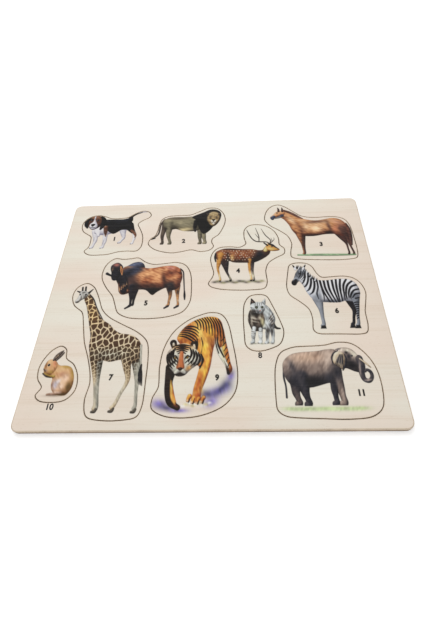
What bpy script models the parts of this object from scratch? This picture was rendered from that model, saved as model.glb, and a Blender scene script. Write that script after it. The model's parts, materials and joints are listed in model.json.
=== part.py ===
"""Flat tray puzzle: a board with eleven animal-shaped pockets and a magnet-backed piece in each pocket.

Metres, +Z up. The origin is the middle of the tray's underside, +X runs along the tray's long side and +Y
runs from its front edge to its back edge. Run it with: blender --background --python part.py
"""

import math

import bmesh
import bpy
from mathutils import Matrix, Vector

# Tray
BOARD_LENGTH = 0.300
BOARD_WIDTH = 0.225
CORNER_RADIUS = 0.006
BASE_THICKNESS = 0.002
SHEET_THICKNESS = 0.003  # the frame board and the pieces are cut from one sheet
TOP_EDGE_ROUND = 0.0010
BASE_EDGE_ROUND = 0.0006

# Room between the solids
SEAT_GAP = 0.0003  # between the base board and what lies on it
CUT_WIDTH = 0.0006  # of the saw line between a piece and its pocket
MAGNET_CLEARANCE = 0.0003  # round a magnet and above it, for the glue

# Magnets
MAGNET_DIAMETER = 0.010
MAGNET_THICKNESS = 0.0015

# Wood between the board's edges and the field that the saw lines fill
LEFT_MARGIN = 0.0101
RIGHT_MARGIN = 0.0112
FRONT_MARGIN = 0.0075
BACK_MARGIN = 0.0075

# How finely round shapes are made
STEPS_PER_SPAN = 12
TURN_PER_POINT = math.radians(9)
LONGEST_RUN = 0.012
STEPS_PER_CORNER = 10
STEPS_PER_EDGE_ROUND = 3
MAGNET_SIDES = 28
SMOOTH_ANGLE = math.radians(35)

# Heights, counted from the tray's underside
SHEET_BOTTOM = BASE_THICKNESS + SEAT_GAP
SHEET_TOP = SHEET_BOTTOM + SHEET_THICKNESS

# The corners of the field that the saw lines fill, on the layout drawing in millimetres, anticlockwise from
# the front left one. The drawing was taken at a slant, so the field isn't quite square on it.
DRAWN_FIELD = ((-142.2, -106.3), (141.5, -104.9), (138.7, 105.9), (-141.2, 108.5))

# The saw lines, as points on the same drawing, clockwise or anticlockwise round each piece. The field is
# turned square and fills the board between the margins, and a smooth curve joins the points.
OUTLINES = {
    "dog": [
        (-138.5, 88), (-136, 80.5), (-130, 76), (-126.2, 73), (-125.3, 66), (-126.2, 59),
        (-129.3, 54.5), (-124.5, 50.5), (-114, 49.7), (-104, 50.4), (-95, 52.9), (-85, 53.6),
        (-76, 53.5), (-72.2, 58), (-72, 71), (-76, 81), (-78.8, 87.5), (-75, 92),
        (-67.5, 96.5), (-66.3, 99.5), (-69, 103.5), (-75, 105), (-82, 102.5), (-90, 97.2),
        (-97, 95.8), (-109, 96.3), (-116, 99.2), (-123, 100.9), (-131, 99.3), (-136.5, 94.3),
    ],
    "lion": [
        (-64.5, 62), (-62.8, 67), (-58.5, 71), (-56.2, 78), (-55.3, 86), (-53, 92.5),
        (-47, 96), (-35, 97), (-23.5, 97.3), (-14, 101.5), (-4, 105.8), (5, 104.5),
        (11, 97.5), (12.8, 88), (10, 78), (6, 70.5), (0, 65.2), (-0.6, 61),
        (1.2, 56), (-2, 52), (-11, 50.3), (-20, 52.7), (-30, 50.9), (-39, 49.7),
        (-48, 51), (-57, 54.3), (-62.5, 58.5),
    ],
    "horse": [
        (54, 89), (56.5, 98.5), (62, 104.8), (69, 106.6), (76.5, 102.8), (84, 96),
        (92, 90.3), (103, 88), (117, 88.5), (127, 87.7), (133.5, 84.5), (137.3, 77),
        (139, 62), (139.5, 46), (138, 38.5), (131, 36.5), (118, 36.2), (98, 37),
        (82, 38.7), (77.3, 41), (77.2, 47), (78.8, 56), (75.8, 65.5), (69, 72.3),
        (60, 79), (55, 85.2),
    ],
    "deer": [
        (-0.5, 41), (1.5, 48), (7, 53.2), (17, 54.4), (28, 53.6), (33.9, 57.8),
        (32.5, 65), (33, 75), (38, 80.2), (47, 81), (56, 78), (62.5, 71.5),
        (65.8, 63), (66.3, 55.5), (70.5, 50.5), (70, 45), (62, 40.3), (54.5, 34.5),
        (51.4, 26), (52, 13), (49.5, 7.5), (40, 6), (24, 6), (9, 7.4),
        (0, 10.5), (-1.8, 13.5), (1.5, 19.5), (2.8, 25), (0.5, 34),
    ],
    "ox": [
        (-105.3, 28), (-102.5, 38), (-95.5, 44), (-87, 43), (-79.5, 43.5), (-72.5, 44.2),
        (-65, 39.2), (-57, 36.2), (-46, 36.5), (-34, 37.6), (-25.5, 34.5), (-20.2, 26),
        (-18.2, 10), (-18.8, -5), (-24.5, -14.5), (-38, -19.3), (-58, -20.8), (-74, -19.3),
        (-83.5, -14.3), (-87, -7), (-91, 2.3), (-98, 10.8), (-104, 20.5),
    ],
    "zebra": [
        (70, 8), (71.8, 20), (74.3, 30.8), (80, 33), (90, 32.2), (94.5, 28.7),
        (98.2, 21), (102, 17), (112, 17.2), (122, 17.4), (130, 15.3), (135.5, 10),
        (138.3, 1), (136.8, -8), (134.4, -18), (134.3, -30), (132.3, -37), (124, -38.6),
        (108, -37.9), (92.5, -37.3), (89.2, -34.5), (89.5, -24), (87.5, -15), (80, -7),
        (72, 0),
    ],
    "giraffe": [
        (-129, 3), (-126.5, 12), (-118.5, 16.4), (-111, 12.3), (-104.8, 2), (-98.5, -11.5),
        (-91, -19), (-76, -27.3), (-61.5, -35), (-53.5, -43), (-51, -56), (-50.8, -80),
        (-51.2, -95), (-54.5, -102.8), (-65, -105.3), (-84, -105.4), (-94, -102.5), (-97.5, -91),
        (-96, -77), (-100, -61), (-108, -42.5), (-113, -24), (-116.5, -13.5), (-125.5, -6),
    ],
    "cat": [
        (44.5, 0.3), (36, -1.3), (31.3, -8), (30, -20), (30.4, -36), (31.6, -47),
        (36, -51), (43, -52), (53, -49.6), (60, -45.5), (63.3, -35.5), (60, -23),
        (54.8, -9.8), (50.5, -1.4),
    ],
    "tiger": [
        (1.6, -16.7), (10, -18.6), (15.5, -26), (20.5, -48), (23.8, -70), (21.8, -84.5),
        (14, -94.2), (1, -100.7), (-16, -103.8), (-34, -102.2), (-43, -97), (-43.2, -90),
        (-39.2, -81), (-39.8, -66), (-37.8, -49.5), (-31, -35), (-19.5, -24.4), (-7, -18.5),
    ],
    "rabbit": [
        (-128, -45.8), (-123, -48.7), (-121, -56.5), (-113.5, -62), (-108, -72), (-107.8, -83),
        (-114, -90.1), (-125, -92), (-135.5, -90.5), (-139, -87), (-135.8, -80.5), (-141, -73),
        (-142, -63), (-137.5, -52.7), (-133, -48),
    ],
    "elephant": [
        (53.7, -80), (55, -65), (59.5, -54.5), (70, -49.8), (84, -49), (96, -48.3),
        (107, -46), (118, -47.5), (127, -55.4), (133, -67), (134.7, -82), (132, -97),
        (124, -103), (109, -105), (85, -104.5), (60, -102.7), (54.5, -98.5), (53.8, -90),
    ],
}


def clear_scene():
    """Remove what the start-up file holds."""
    for thing in list(bpy.data.objects):
        bpy.data.objects.remove(thing, do_unlink=True)


def finish(name, color, roughness):
    """A plain coating: a Principled material with one colour."""
    material = bpy.data.materials.new(name)
    material.use_nodes = True
    shader = material.node_tree.nodes["Principled BSDF"]
    shader.inputs["Base Color"].default_value = (*color, 1.0)
    shader.inputs["Roughness"].default_value = roughness
    shader.inputs["Metallic"].default_value = 0.0
    return material


def hardboard():
    """Brown pressed fibre, as on the base board."""
    return finish("hardboard", color=(0.27, 0.17, 0.10), roughness=0.75)


def pale_plywood():
    """The frame board's pale wood with its clear coat."""
    return finish("pale_plywood", color=(0.76, 0.66, 0.55), roughness=0.45)


def printed_plywood():
    """The pieces' face, a little lighter than the frame board."""
    return finish("printed_plywood", color=(0.82, 0.76, 0.63), roughness=0.40)


def ferrite():
    """Dark grey sintered magnet."""
    return finish("ferrite", color=(0.035, 0.035, 0.038), roughness=0.50)


def between(share, low, high):
    """The value that lies a share of the way from low to high."""
    return low + share * (high - low)


def slant_of(corners):
    """The matrix that takes places in a unit square to a four-sided field drawn in perspective."""
    (x0, y0), (x1, y1), (x2, y2), (x3, y3) = corners
    front = Vector((x1 - x2, y1 - y2))
    side = Vector((x3 - x2, y3 - y2))
    skew = Vector((x0 - x1 + x2 - x3, y0 - y1 + y2 - y3))
    g = skew.cross(side) / front.cross(side)
    h = front.cross(skew) / front.cross(side)
    return Matrix((
        (x1 - x0 + g * x1, x3 - x0 + h * x3, x0),
        (y1 - y0 + g * y1, y3 - y0 + h * y3, y0),
        (g, h, 1.0),
    ))


def place_on_board(point):
    """Move a point of the layout drawing to its place on the board."""
    along, across, depth = slant_of(DRAWN_FIELD).inverted() @ Vector((*point, 1.0))
    along, across = along / depth, across / depth
    x = between(along, LEFT_MARGIN - BOARD_LENGTH / 2, BOARD_LENGTH / 2 - RIGHT_MARGIN)
    y = between(across, FRONT_MARGIN - BOARD_WIDTH / 2, BOARD_WIDTH / 2 - BACK_MARGIN)
    return Vector((x, y))


def span_points(before, start, end, after, steps):
    """Points from start up to end on a centripetal Catmull-Rom curve, whose knots are set by the spacing."""
    knots = [0.0]
    for near, far in ((before, start), (start, end), (end, after)):
        knots.append(knots[-1] + math.sqrt((far - near).length))
    k0, k1, k2, k3 = knots
    for step in range(steps):
        k = between(step / steps, k1, k2)
        a = before.lerp(start, (k - k0) / (k1 - k0))
        b = start.lerp(end, (k - k1) / (k2 - k1))
        c = end.lerp(after, (k - k2) / (k3 - k2))
        ab = a.lerp(b, (k - k0) / (k2 - k0))
        bc = b.lerp(c, (k - k1) / (k3 - k1))
        yield ab.lerp(bc, (k - k1) / (k2 - k1))


def smooth_loop(corners):
    """The closed curve through the corners, as many close points."""
    count = len(corners)
    loop = []
    for i in range(count):
        four = [corners[(i + shift) % count] for shift in (-1, 0, 1, 2)]
        loop += span_points(*four, STEPS_PER_SPAN)
    return loop


def thinned(loop):
    """Keep a point of a fine loop wherever it has turned or run far enough since the last one kept."""
    kept = [loop[0]]
    turned = run = 0.0
    for i in range(1, len(loop)):
        arriving = loop[i] - loop[i - 1]
        leaving = loop[(i + 1) % len(loop)] - loop[i]
        turned += abs(arriving.angle_signed(leaving))
        run += arriving.length
        if turned >= TURN_PER_POINT or run >= LONGEST_RUN:
            kept.append(loop[i])
            turned = run = 0.0
    return kept


def signed_area(loop):
    """Area inside a loop, negative where it runs clockwise."""
    return sum(a.cross(b) for a, b in zip(loop, loop[1:] + loop[:1])) / 2


def balance_point(loop):
    """Centre of the area inside a loop."""
    centre = Vector((0.0, 0.0))
    for a, b in zip(loop, loop[1:] + loop[:1]):
        centre += (a + b) * a.cross(b)
    return centre / (6 * signed_area(loop))


def saw_line(animal):
    """A piece's outline on the board, anticlockwise."""
    loop = thinned(smooth_loop([place_on_board(point) for point in OUTLINES[animal]]))
    return loop if signed_area(loop) > 0 else loop[::-1]


def grown(loop, distance):
    """An anticlockwise loop moved outwards by a distance."""
    moved = []
    for i, point in enumerate(loop):
        arriving = (point - loop[i - 1]).normalized()
        leaving = (loop[(i + 1) % len(loop)] - point).normalized()
        along = (arriving + leaving).normalized()
        outward = Vector((along.y, -along.x))
        moved.append(point + outward * distance / along.dot(arriving))
    return moved


def round_loop(radius, sides):
    """A circle about the origin."""
    turns = [math.tau * i / sides for i in range(sides)]
    return [Vector((radius * math.cos(turn), radius * math.sin(turn))) for turn in turns]


def board_loop(inset=0.0):
    """The tray's outline with its round corners, drawn in by an inset."""
    radius = CORNER_RADIUS - inset
    reach_x = BOARD_LENGTH / 2 - CORNER_RADIUS
    reach_y = BOARD_WIDTH / 2 - CORNER_RADIUS
    loop = []
    for quarter, (side_x, side_y) in enumerate(((1, 1), (-1, 1), (-1, -1), (1, -1))):
        centre = Vector((side_x * reach_x, side_y * reach_y))
        for step in range(STEPS_PER_CORNER + 1):
            turn = math.pi / 2 * (quarter + step / STEPS_PER_CORNER)
            loop.append(centre + radius * Vector((math.cos(turn), math.sin(turn))))
    return loop


def edge_round(radius):
    """Inset and drop of each ring on a rounded edge, from the side wall to the flat face."""
    for step in range(STEPS_PER_EDGE_ROUND + 1):
        turn = math.pi / 2 * step / STEPS_PER_EDGE_ROUND
        yield radius * (1 - math.cos(turn)), radius * (1 - math.sin(turn))


def ring(bm, loop, height):
    """Vertices of a loop at a height."""
    return [bm.verts.new((point.x, point.y, height)) for point in loop]


def add_wall(bm, rings):
    """Faces between each ring and the next."""
    for lower, upper in zip(rings, rings[1:]):
        for i in range(len(lower)):
            bm.faces.new((lower[i - 1], lower[i], upper[i], upper[i - 1]))


def add_cap(bm, rings):
    """A flat face inside the first ring, with the other rings as holes in it."""
    edges = []
    for verts in rings:
        for i in range(len(verts)):
            edge = bm.edges.get((verts[i - 1], verts[i]))
            edges.append(edge or bm.edges.new((verts[i - 1], verts[i])))
    bmesh.ops.triangle_fill(bm, use_beauty=True, edges=edges)


def make_object(name, bm, material, place=(0.0, 0.0, 0.0), parent=None):
    """Turn a closed shape into an object with its origin at a place, relative to its parent."""
    bmesh.ops.recalc_face_normals(bm, faces=bm.faces)
    mesh = bpy.data.meshes.new(name)
    bm.to_mesh(mesh)
    bm.free()
    mesh.shade_smooth()
    mesh.set_sharp_from_angle(angle=SMOOTH_ANGLE)
    mesh.materials.append(material)
    thing = bpy.data.objects.new(name, mesh)
    thing.location = place
    thing.parent = parent
    bpy.context.collection.objects.link(thing)
    return thing


def make_base_board(material):
    """The closed underside of the tray, with its lower edge eased."""
    bm = bmesh.new()
    rings = [ring(bm, board_loop(inset), drop) for inset, drop in edge_round(BASE_EDGE_ROUND)]
    rings.insert(0, ring(bm, board_loop(), BASE_THICKNESS))
    add_wall(bm, rings)
    add_cap(bm, rings[:1])
    add_cap(bm, rings[-1:])
    return make_object("base_board", bm, material)


def make_frame_board(saw_lines, material):
    """The sheet with the pockets, its upper edge rounded."""
    bm = bmesh.new()
    outer = [ring(bm, board_loop(), SHEET_BOTTOM)]
    for inset, drop in edge_round(TOP_EDGE_ROUND):
        outer.append(ring(bm, board_loop(inset), SHEET_TOP - drop))
    add_wall(bm, outer)
    lower, upper = [outer[0]], [outer[-1]]
    for loop in saw_lines.values():
        pocket = grown(loop, CUT_WIDTH)
        lower.append(ring(bm, pocket, SHEET_BOTTOM))
        upper.append(ring(bm, pocket, SHEET_TOP))
        add_wall(bm, [lower[-1], upper[-1]])
    add_cap(bm, lower)
    add_cap(bm, upper)
    return make_object("frame_board", bm, material)


def make_piece(animal, loop, material):
    """A piece of the sheet with a blind round pocket in its back. Its origin is its balance point."""
    centre = balance_point(loop)
    local = [point - centre for point in loop]
    pocket = round_loop(MAGNET_DIAMETER / 2 + MAGNET_CLEARANCE, MAGNET_SIDES)
    bm = bmesh.new()
    outline = [ring(bm, local, 0.0), ring(bm, local, SHEET_THICKNESS)]
    mouth = ring(bm, pocket, 0.0)
    roof = ring(bm, pocket, MAGNET_THICKNESS + MAGNET_CLEARANCE)
    add_wall(bm, outline)
    add_wall(bm, [mouth, roof])
    add_cap(bm, [outline[0], mouth])
    add_cap(bm, [outline[1]])
    add_cap(bm, [roof])
    return make_object(f"{animal}_piece", bm, material, place=(centre.x, centre.y, SHEET_BOTTOM))


def make_magnet(animal, piece, material):
    """The disc that is glued into a piece's back, flush with it."""
    bm = bmesh.new()
    disc = round_loop(MAGNET_DIAMETER / 2, MAGNET_SIDES)
    rings = [ring(bm, disc, 0.0), ring(bm, disc, MAGNET_THICKNESS)]
    add_wall(bm, rings)
    add_cap(bm, rings[:1])
    add_cap(bm, rings[1:])
    return make_object(f"{animal}_magnet", bm, material, parent=piece)


def build():
    """Make the tray, then each piece with its magnet."""
    clear_scene()
    saw_lines = {animal: saw_line(animal) for animal in OUTLINES}
    make_base_board(hardboard())
    make_frame_board(saw_lines, pale_plywood())
    face, disc = printed_plywood(), ferrite()
    for animal, loop in saw_lines.items():
        piece = make_piece(animal, loop, face)
        make_magnet(animal, piece, disc)


build()
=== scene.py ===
"""Looks of a flat wooden animal puzzle: veneer, saw cuts, colour prints, magnets, and a plain studio."""

import json
import logging
import math
from dataclasses import dataclass, field
from enum import Enum
from typing import Optional

import bmesh
import bpy
import numpy as np
from mathutils import Matrix, Vector
from mathutils.geometry import delaunay_2d_cdt

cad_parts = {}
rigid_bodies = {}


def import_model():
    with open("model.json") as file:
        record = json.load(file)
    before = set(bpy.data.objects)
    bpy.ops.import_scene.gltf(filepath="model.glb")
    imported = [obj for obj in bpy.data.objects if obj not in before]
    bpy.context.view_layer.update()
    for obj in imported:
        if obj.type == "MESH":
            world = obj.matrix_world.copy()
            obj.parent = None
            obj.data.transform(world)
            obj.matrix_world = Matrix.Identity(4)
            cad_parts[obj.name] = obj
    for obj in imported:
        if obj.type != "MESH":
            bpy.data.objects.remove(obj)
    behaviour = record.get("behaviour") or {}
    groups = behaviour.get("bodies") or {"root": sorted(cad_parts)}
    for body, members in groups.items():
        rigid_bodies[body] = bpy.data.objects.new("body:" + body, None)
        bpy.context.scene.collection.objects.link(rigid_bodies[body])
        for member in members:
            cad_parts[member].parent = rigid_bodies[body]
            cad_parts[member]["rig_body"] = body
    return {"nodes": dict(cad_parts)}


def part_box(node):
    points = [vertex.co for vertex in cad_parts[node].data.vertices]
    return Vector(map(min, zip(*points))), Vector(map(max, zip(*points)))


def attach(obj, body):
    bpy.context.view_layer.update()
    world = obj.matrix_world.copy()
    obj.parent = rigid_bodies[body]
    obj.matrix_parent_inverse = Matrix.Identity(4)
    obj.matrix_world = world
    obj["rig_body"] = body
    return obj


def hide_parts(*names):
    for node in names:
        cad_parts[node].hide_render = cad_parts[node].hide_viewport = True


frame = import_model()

log = logging.getLogger("puzzle")

Array = np.ndarray
Material = bpy.types.Material
Socket = bpy.types.NodeSocket
Color = int  # as a screen shows it, 0xRRGGBB
Spot = tuple[float, float]
Box = tuple[float, float, float, float]  # lowest x and y, then highest
Loop = Array  # n by 2 points of a closed line
Path = list[tuple[float, float, float]]  # x, y and half width along a brush stroke

MM = 0.001
SAME_HEIGHT = 1e-5
SAME_PLACE = 1e-7
SHARP_ANGLE = math.radians(35)
DIGIT_STEPS = 4
DIGIT_OFFSET = 0.025  # how far a digit's outline is moved out of the font's, before it is scaled
WORD = 0xFFFFFFFF  # the largest number of 32 bits
SCATTER_PRIMES = (374761393, 668265263, 2246822519, 1274126177)


class Wood(Enum):
    """Which surface of the plywood a face belongs to. The value is its material slot's number."""

    FACE = 0
    CUT = 1
    BACK = 2
    INK = 3


def shares(color: Color) -> Array:
    """A colour's red, green and blue, from 0 to 1."""
    return np.array([color >> 16, color >> 8 & 255, color & 255]) / 255


def to_linear(color: Array) -> Array:
    """Turn screen shares into the light that they stand for."""
    return np.where(color <= 0.04045, color / 12.92, ((color + 0.055) / 1.055) ** 2.4)


def shader_color(color: Color) -> tuple[float, float, float, float]:
    """A colour as a shader's colour value."""
    return (*to_linear(shares(color)).tolist(), 1.0)


def smoothstep(low: float, high: float, value: Array) -> Array:
    """0 up to low, 1 from high on, and a soft step between."""
    share = np.clip((value - low) / (high - low), 0.0, 1.0)
    return share * share * (3 - 2 * share)


def smooth_loop(points: Array, steps: int) -> Array:
    """Put more points on the smooth curve through a loop's points.

    Args:
        points: the loop, with two or three numbers a point.
        steps: how many pieces each side of the loop is cut into.

    Returns:
        The finer loop. Its knots follow the points' spacing, so that no side overshoots.
    """
    p0, p1, p2, p3 = (np.roll(points, shift, axis=0) for shift in (1, 0, -1, -2))
    gaps = [np.sqrt(np.linalg.norm((b - a)[:, :2], axis=1)) + 1e-9 for a, b in ((p0, p1), (p1, p2), (p2, p3))]
    k0, k1, k2, k3 = np.cumsum([0 * gaps[0], *gaps], axis=0)
    rows = []
    for step in range(steps):
        k = k1 + gaps[1] * step / steps

        def mix(a: Array, b: Array, ka: Array, kb: Array) -> Array:
            """The point at knot k on the line from a, at knot ka, to b, at knot kb."""
            return a + (b - a) * ((k - ka) / (kb - ka))[:, None]

        a, b, c = mix(p0, p1, k0, k1), mix(p1, p2, k1, k2), mix(p2, p3, k2, k3)
        rows.append(mix(mix(a, b, k0, k2), mix(b, c, k1, k3), k1, k2))
    return np.stack(rows, axis=1).reshape(-1, points.shape[1])


def smooth_path(points: Array, steps: int) -> Array:
    """Put more points on the smooth curve through an open line's points.

    Args:
        points: the line. Its ends are held by points mirrored beyond them.
        steps: how many pieces each side is cut into.

    Returns:
        The finer line.
    """
    if len(points) < 3:
        return points
    padded = np.vstack([2 * points[0] - points[1], points, 2 * points[-1] - points[-2]])
    return np.vstack([smooth_loop(padded, steps)[steps: steps * len(points)], points[-1]])


def signed_area(loop: Loop) -> float:
    """Area inside a loop, negative where it runs clockwise."""
    x, y = loop[:, 0], loop[:, 1]
    return float(np.sum(x * np.roll(y, -1) - np.roll(x, -1) * y) / 2)


def anticlockwise(loop: Loop) -> Loop:
    """The loop, turned round if it runs clockwise."""
    return loop if signed_area(loop) > 0 else loop[::-1]


def outward_of(loop: Loop) -> Loop:
    """Unit vectors that point out of an anticlockwise loop at its points."""
    along = np.roll(loop, -1, axis=0) - np.roll(loop, 1, axis=0)
    return np.stack([along[:, 1], -along[:, 0]], axis=1) / np.linalg.norm(along, axis=1)[:, None]


def depth_in(points: Array, loops: list[Loop]) -> tuple[Array, Array]:
    """Measure how deep points lie inside closed loops, counted even-odd.

    Args:
        points: n by 2 points.
        loops: the closed lines.

    Returns:
        The distance to the nearest line, positive inside, and the step from each point to that line.
    """
    x, y = points[:, 0], points[:, 1]
    inside = np.zeros(len(points), dtype=bool)
    nearest = np.full(len(points), np.inf)
    step = np.zeros_like(points)
    for loop in loops:
        for (ax, ay), (bx, by) in zip(loop, np.roll(loop, -1, axis=0)):
            dx, dy = bx - ax, by - ay
            length2 = dx * dx + dy * dy
            if length2 == 0:
                continue
            t = np.clip(((x - ax) * dx + (y - ay) * dy) / length2, 0, 1)
            sx, sy = ax + t * dx - x, ay + t * dy - y
            far = sx * sx + sy * sy
            closer = far < nearest
            nearest[closer] = far[closer]
            step[closer, 0] = sx[closer]
            step[closer, 1] = sy[closer]
            if dy != 0:
                inside ^= ((ay > y) != (by > y)) & (x < dx * (y - ay) / dy + ax)
    return np.where(inside, 1, -1) * np.sqrt(nearest), step


def outlines(mesh: bpy.types.Mesh, merge: float, height: float) -> list[Loop]:
    """Find the closed lines round a mesh's flat faces.

    Args:
        mesh: the mesh.
        merge: how near points lie that are joined first.
        height: the faces' height.

    Returns:
        The lines, the wood on their left.
    """
    bm = bmesh.new()
    bm.from_mesh(mesh)
    bmesh.ops.remove_doubles(bm, verts=bm.verts, dist=merge)
    bm.verts.index_update()
    flat = {face for face in bm.faces if all(abs(vert.co.z - height) < SAME_HEIGHT for vert in face.verts)}
    edges = [
        (loop.vert.index, loop.link_loop_next.vert.index)
        for face in flat for loop in face.loops if len(flat.intersection(loop.edge.link_faces)) == 1
    ]
    spots = np.array([vert.co[:2] for vert in bm.verts])
    bm.free()
    following = dict(sorted(edges))
    loops = []
    while following:
        start, here = following.popitem()
        line = [start]
        while here != start:
            line.append(here)
            here = following.pop(here)
        loops.append(spots[line])
    return loops


def flat_loops(node: str, height: float) -> list[Loop]:
    """Outlines of a node's flat faces at a height, as anticlockwise loops in metres, the widest first."""
    loops = outlines(frame["nodes"][node].data, SAME_HEIGHT / 10, height)
    return sorted(map(anticlockwise, loops), key=signed_area, reverse=True)


def scatter(ix: Array, iy: Array, seed: int) -> Array:
    """Scatter numbers over whole-numbered places, the same in each run.

    Args:
        ix: the places across.
        iy: the places along.
        seed: picks the pattern.

    Returns:
        A number from 0 to 1 for each place.
    """
    word = np.uint64(WORD)
    by_x, by_y, by_seed, stir = map(np.uint64, SCATTER_PRIMES)
    x, y = (place.astype(np.int64).astype(np.uint64) for place in (ix, iy))
    h = (x * by_x + y * by_y + np.uint64(seed) * by_seed) & word
    h = ((h ^ (h >> np.uint64(13))) * stir) & word
    return (h ^ (h >> np.uint64(16))) / WORD


def soft_noise(x: Array, y: Array, seed: int) -> Array:
    """Make smooth noise whose features are one unit wide.

    Args:
        x: where to read it across.
        y: where to read it along.
        seed: picks the pattern.

    Returns:
        Its values, from -1 to 1.
    """
    ix, iy = np.floor(x), np.floor(y)
    fx, fy = x - ix, y - iy
    u, v = fx * fx * (3 - 2 * fx), fy * fy * (3 - 2 * fy)
    low = scatter(ix, iy, seed) * (1 - u) + scatter(ix + 1, iy, seed) * u
    high = scatter(ix, iy + 1, seed) * (1 - u) + scatter(ix + 1, iy + 1, seed) * u
    return (low * (1 - v) + high * v) * 2 - 1


def turned(points: Array, angle: float) -> tuple[Array, Array]:
    """How far points lie along a direction, given in degrees, and how far across it."""
    c, s = math.cos(math.radians(angle)), math.sin(math.radians(angle))
    return points[:, 0] * c + points[:, 1] * s, points[:, 1] * c - points[:, 0] * s


def digit_loops(text: str, x: float, y: float, height: float, bold: float = 0.0) -> list[Loop]:
    """Outlines of a plain number, centred on a place.

    Args:
        text: the number.
        x: its middle, along the board.
        y: its middle, across the board.
        height: of the digits, in the same unit.
        bold: how far their outlines are moved out, in that unit.

    Returns:
        Closed loops, to be filled even-odd.
    """
    curve = bpy.data.curves.new("number", "FONT")
    curve.body = text
    curve.resolution_u = DIGIT_STEPS
    curve.offset = DIGIT_OFFSET
    thing = bpy.data.objects.new("number", curve)
    bpy.context.scene.collection.objects.link(thing)
    bpy.context.view_layer.update()
    mesh = bpy.data.meshes.new_from_object(thing.evaluated_get(bpy.context.evaluated_depsgraph_get()))
    bpy.data.objects.remove(thing)
    loops = outlines(mesh, 1e-4, 0.0)
    bpy.data.meshes.remove(mesh)
    bpy.data.curves.remove(curve)
    low, high = np.vstack(loops).min(axis=0), np.vstack(loops).max(axis=0)
    scale = height / (high[1] - low[1])
    return [(loop - (low + high) / 2) * scale + bold * outward_of(loop) + np.array([x, y]) for loop in loops]


# The print

EYE_DARK = 0x141112
GLINT = 0xE4E8EE


@dataclass(frozen=True)
class Coat:
    """A rounded thing's colours: in its own shade, in plain light, and where the light falls full."""

    shade: Color
    plain: Color
    bright: Color
    hair: float = 0.14

    def at(self, tone: Array) -> Array:
        """Pick colours by tone.

        Args:
            tone: 0 in the shade and 1 in full light.

        Returns:
            A colour for each tone.
        """
        tone = np.clip(tone, 0, 1)[:, None]
        dark, mid, light = (shares(c) for c in (self.shade, self.plain, self.bright))
        lower = dark + (mid - dark) * np.minimum(tone * 2, 1)
        return lower + (light - mid) * np.maximum(tone * 2 - 1, 0)


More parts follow.
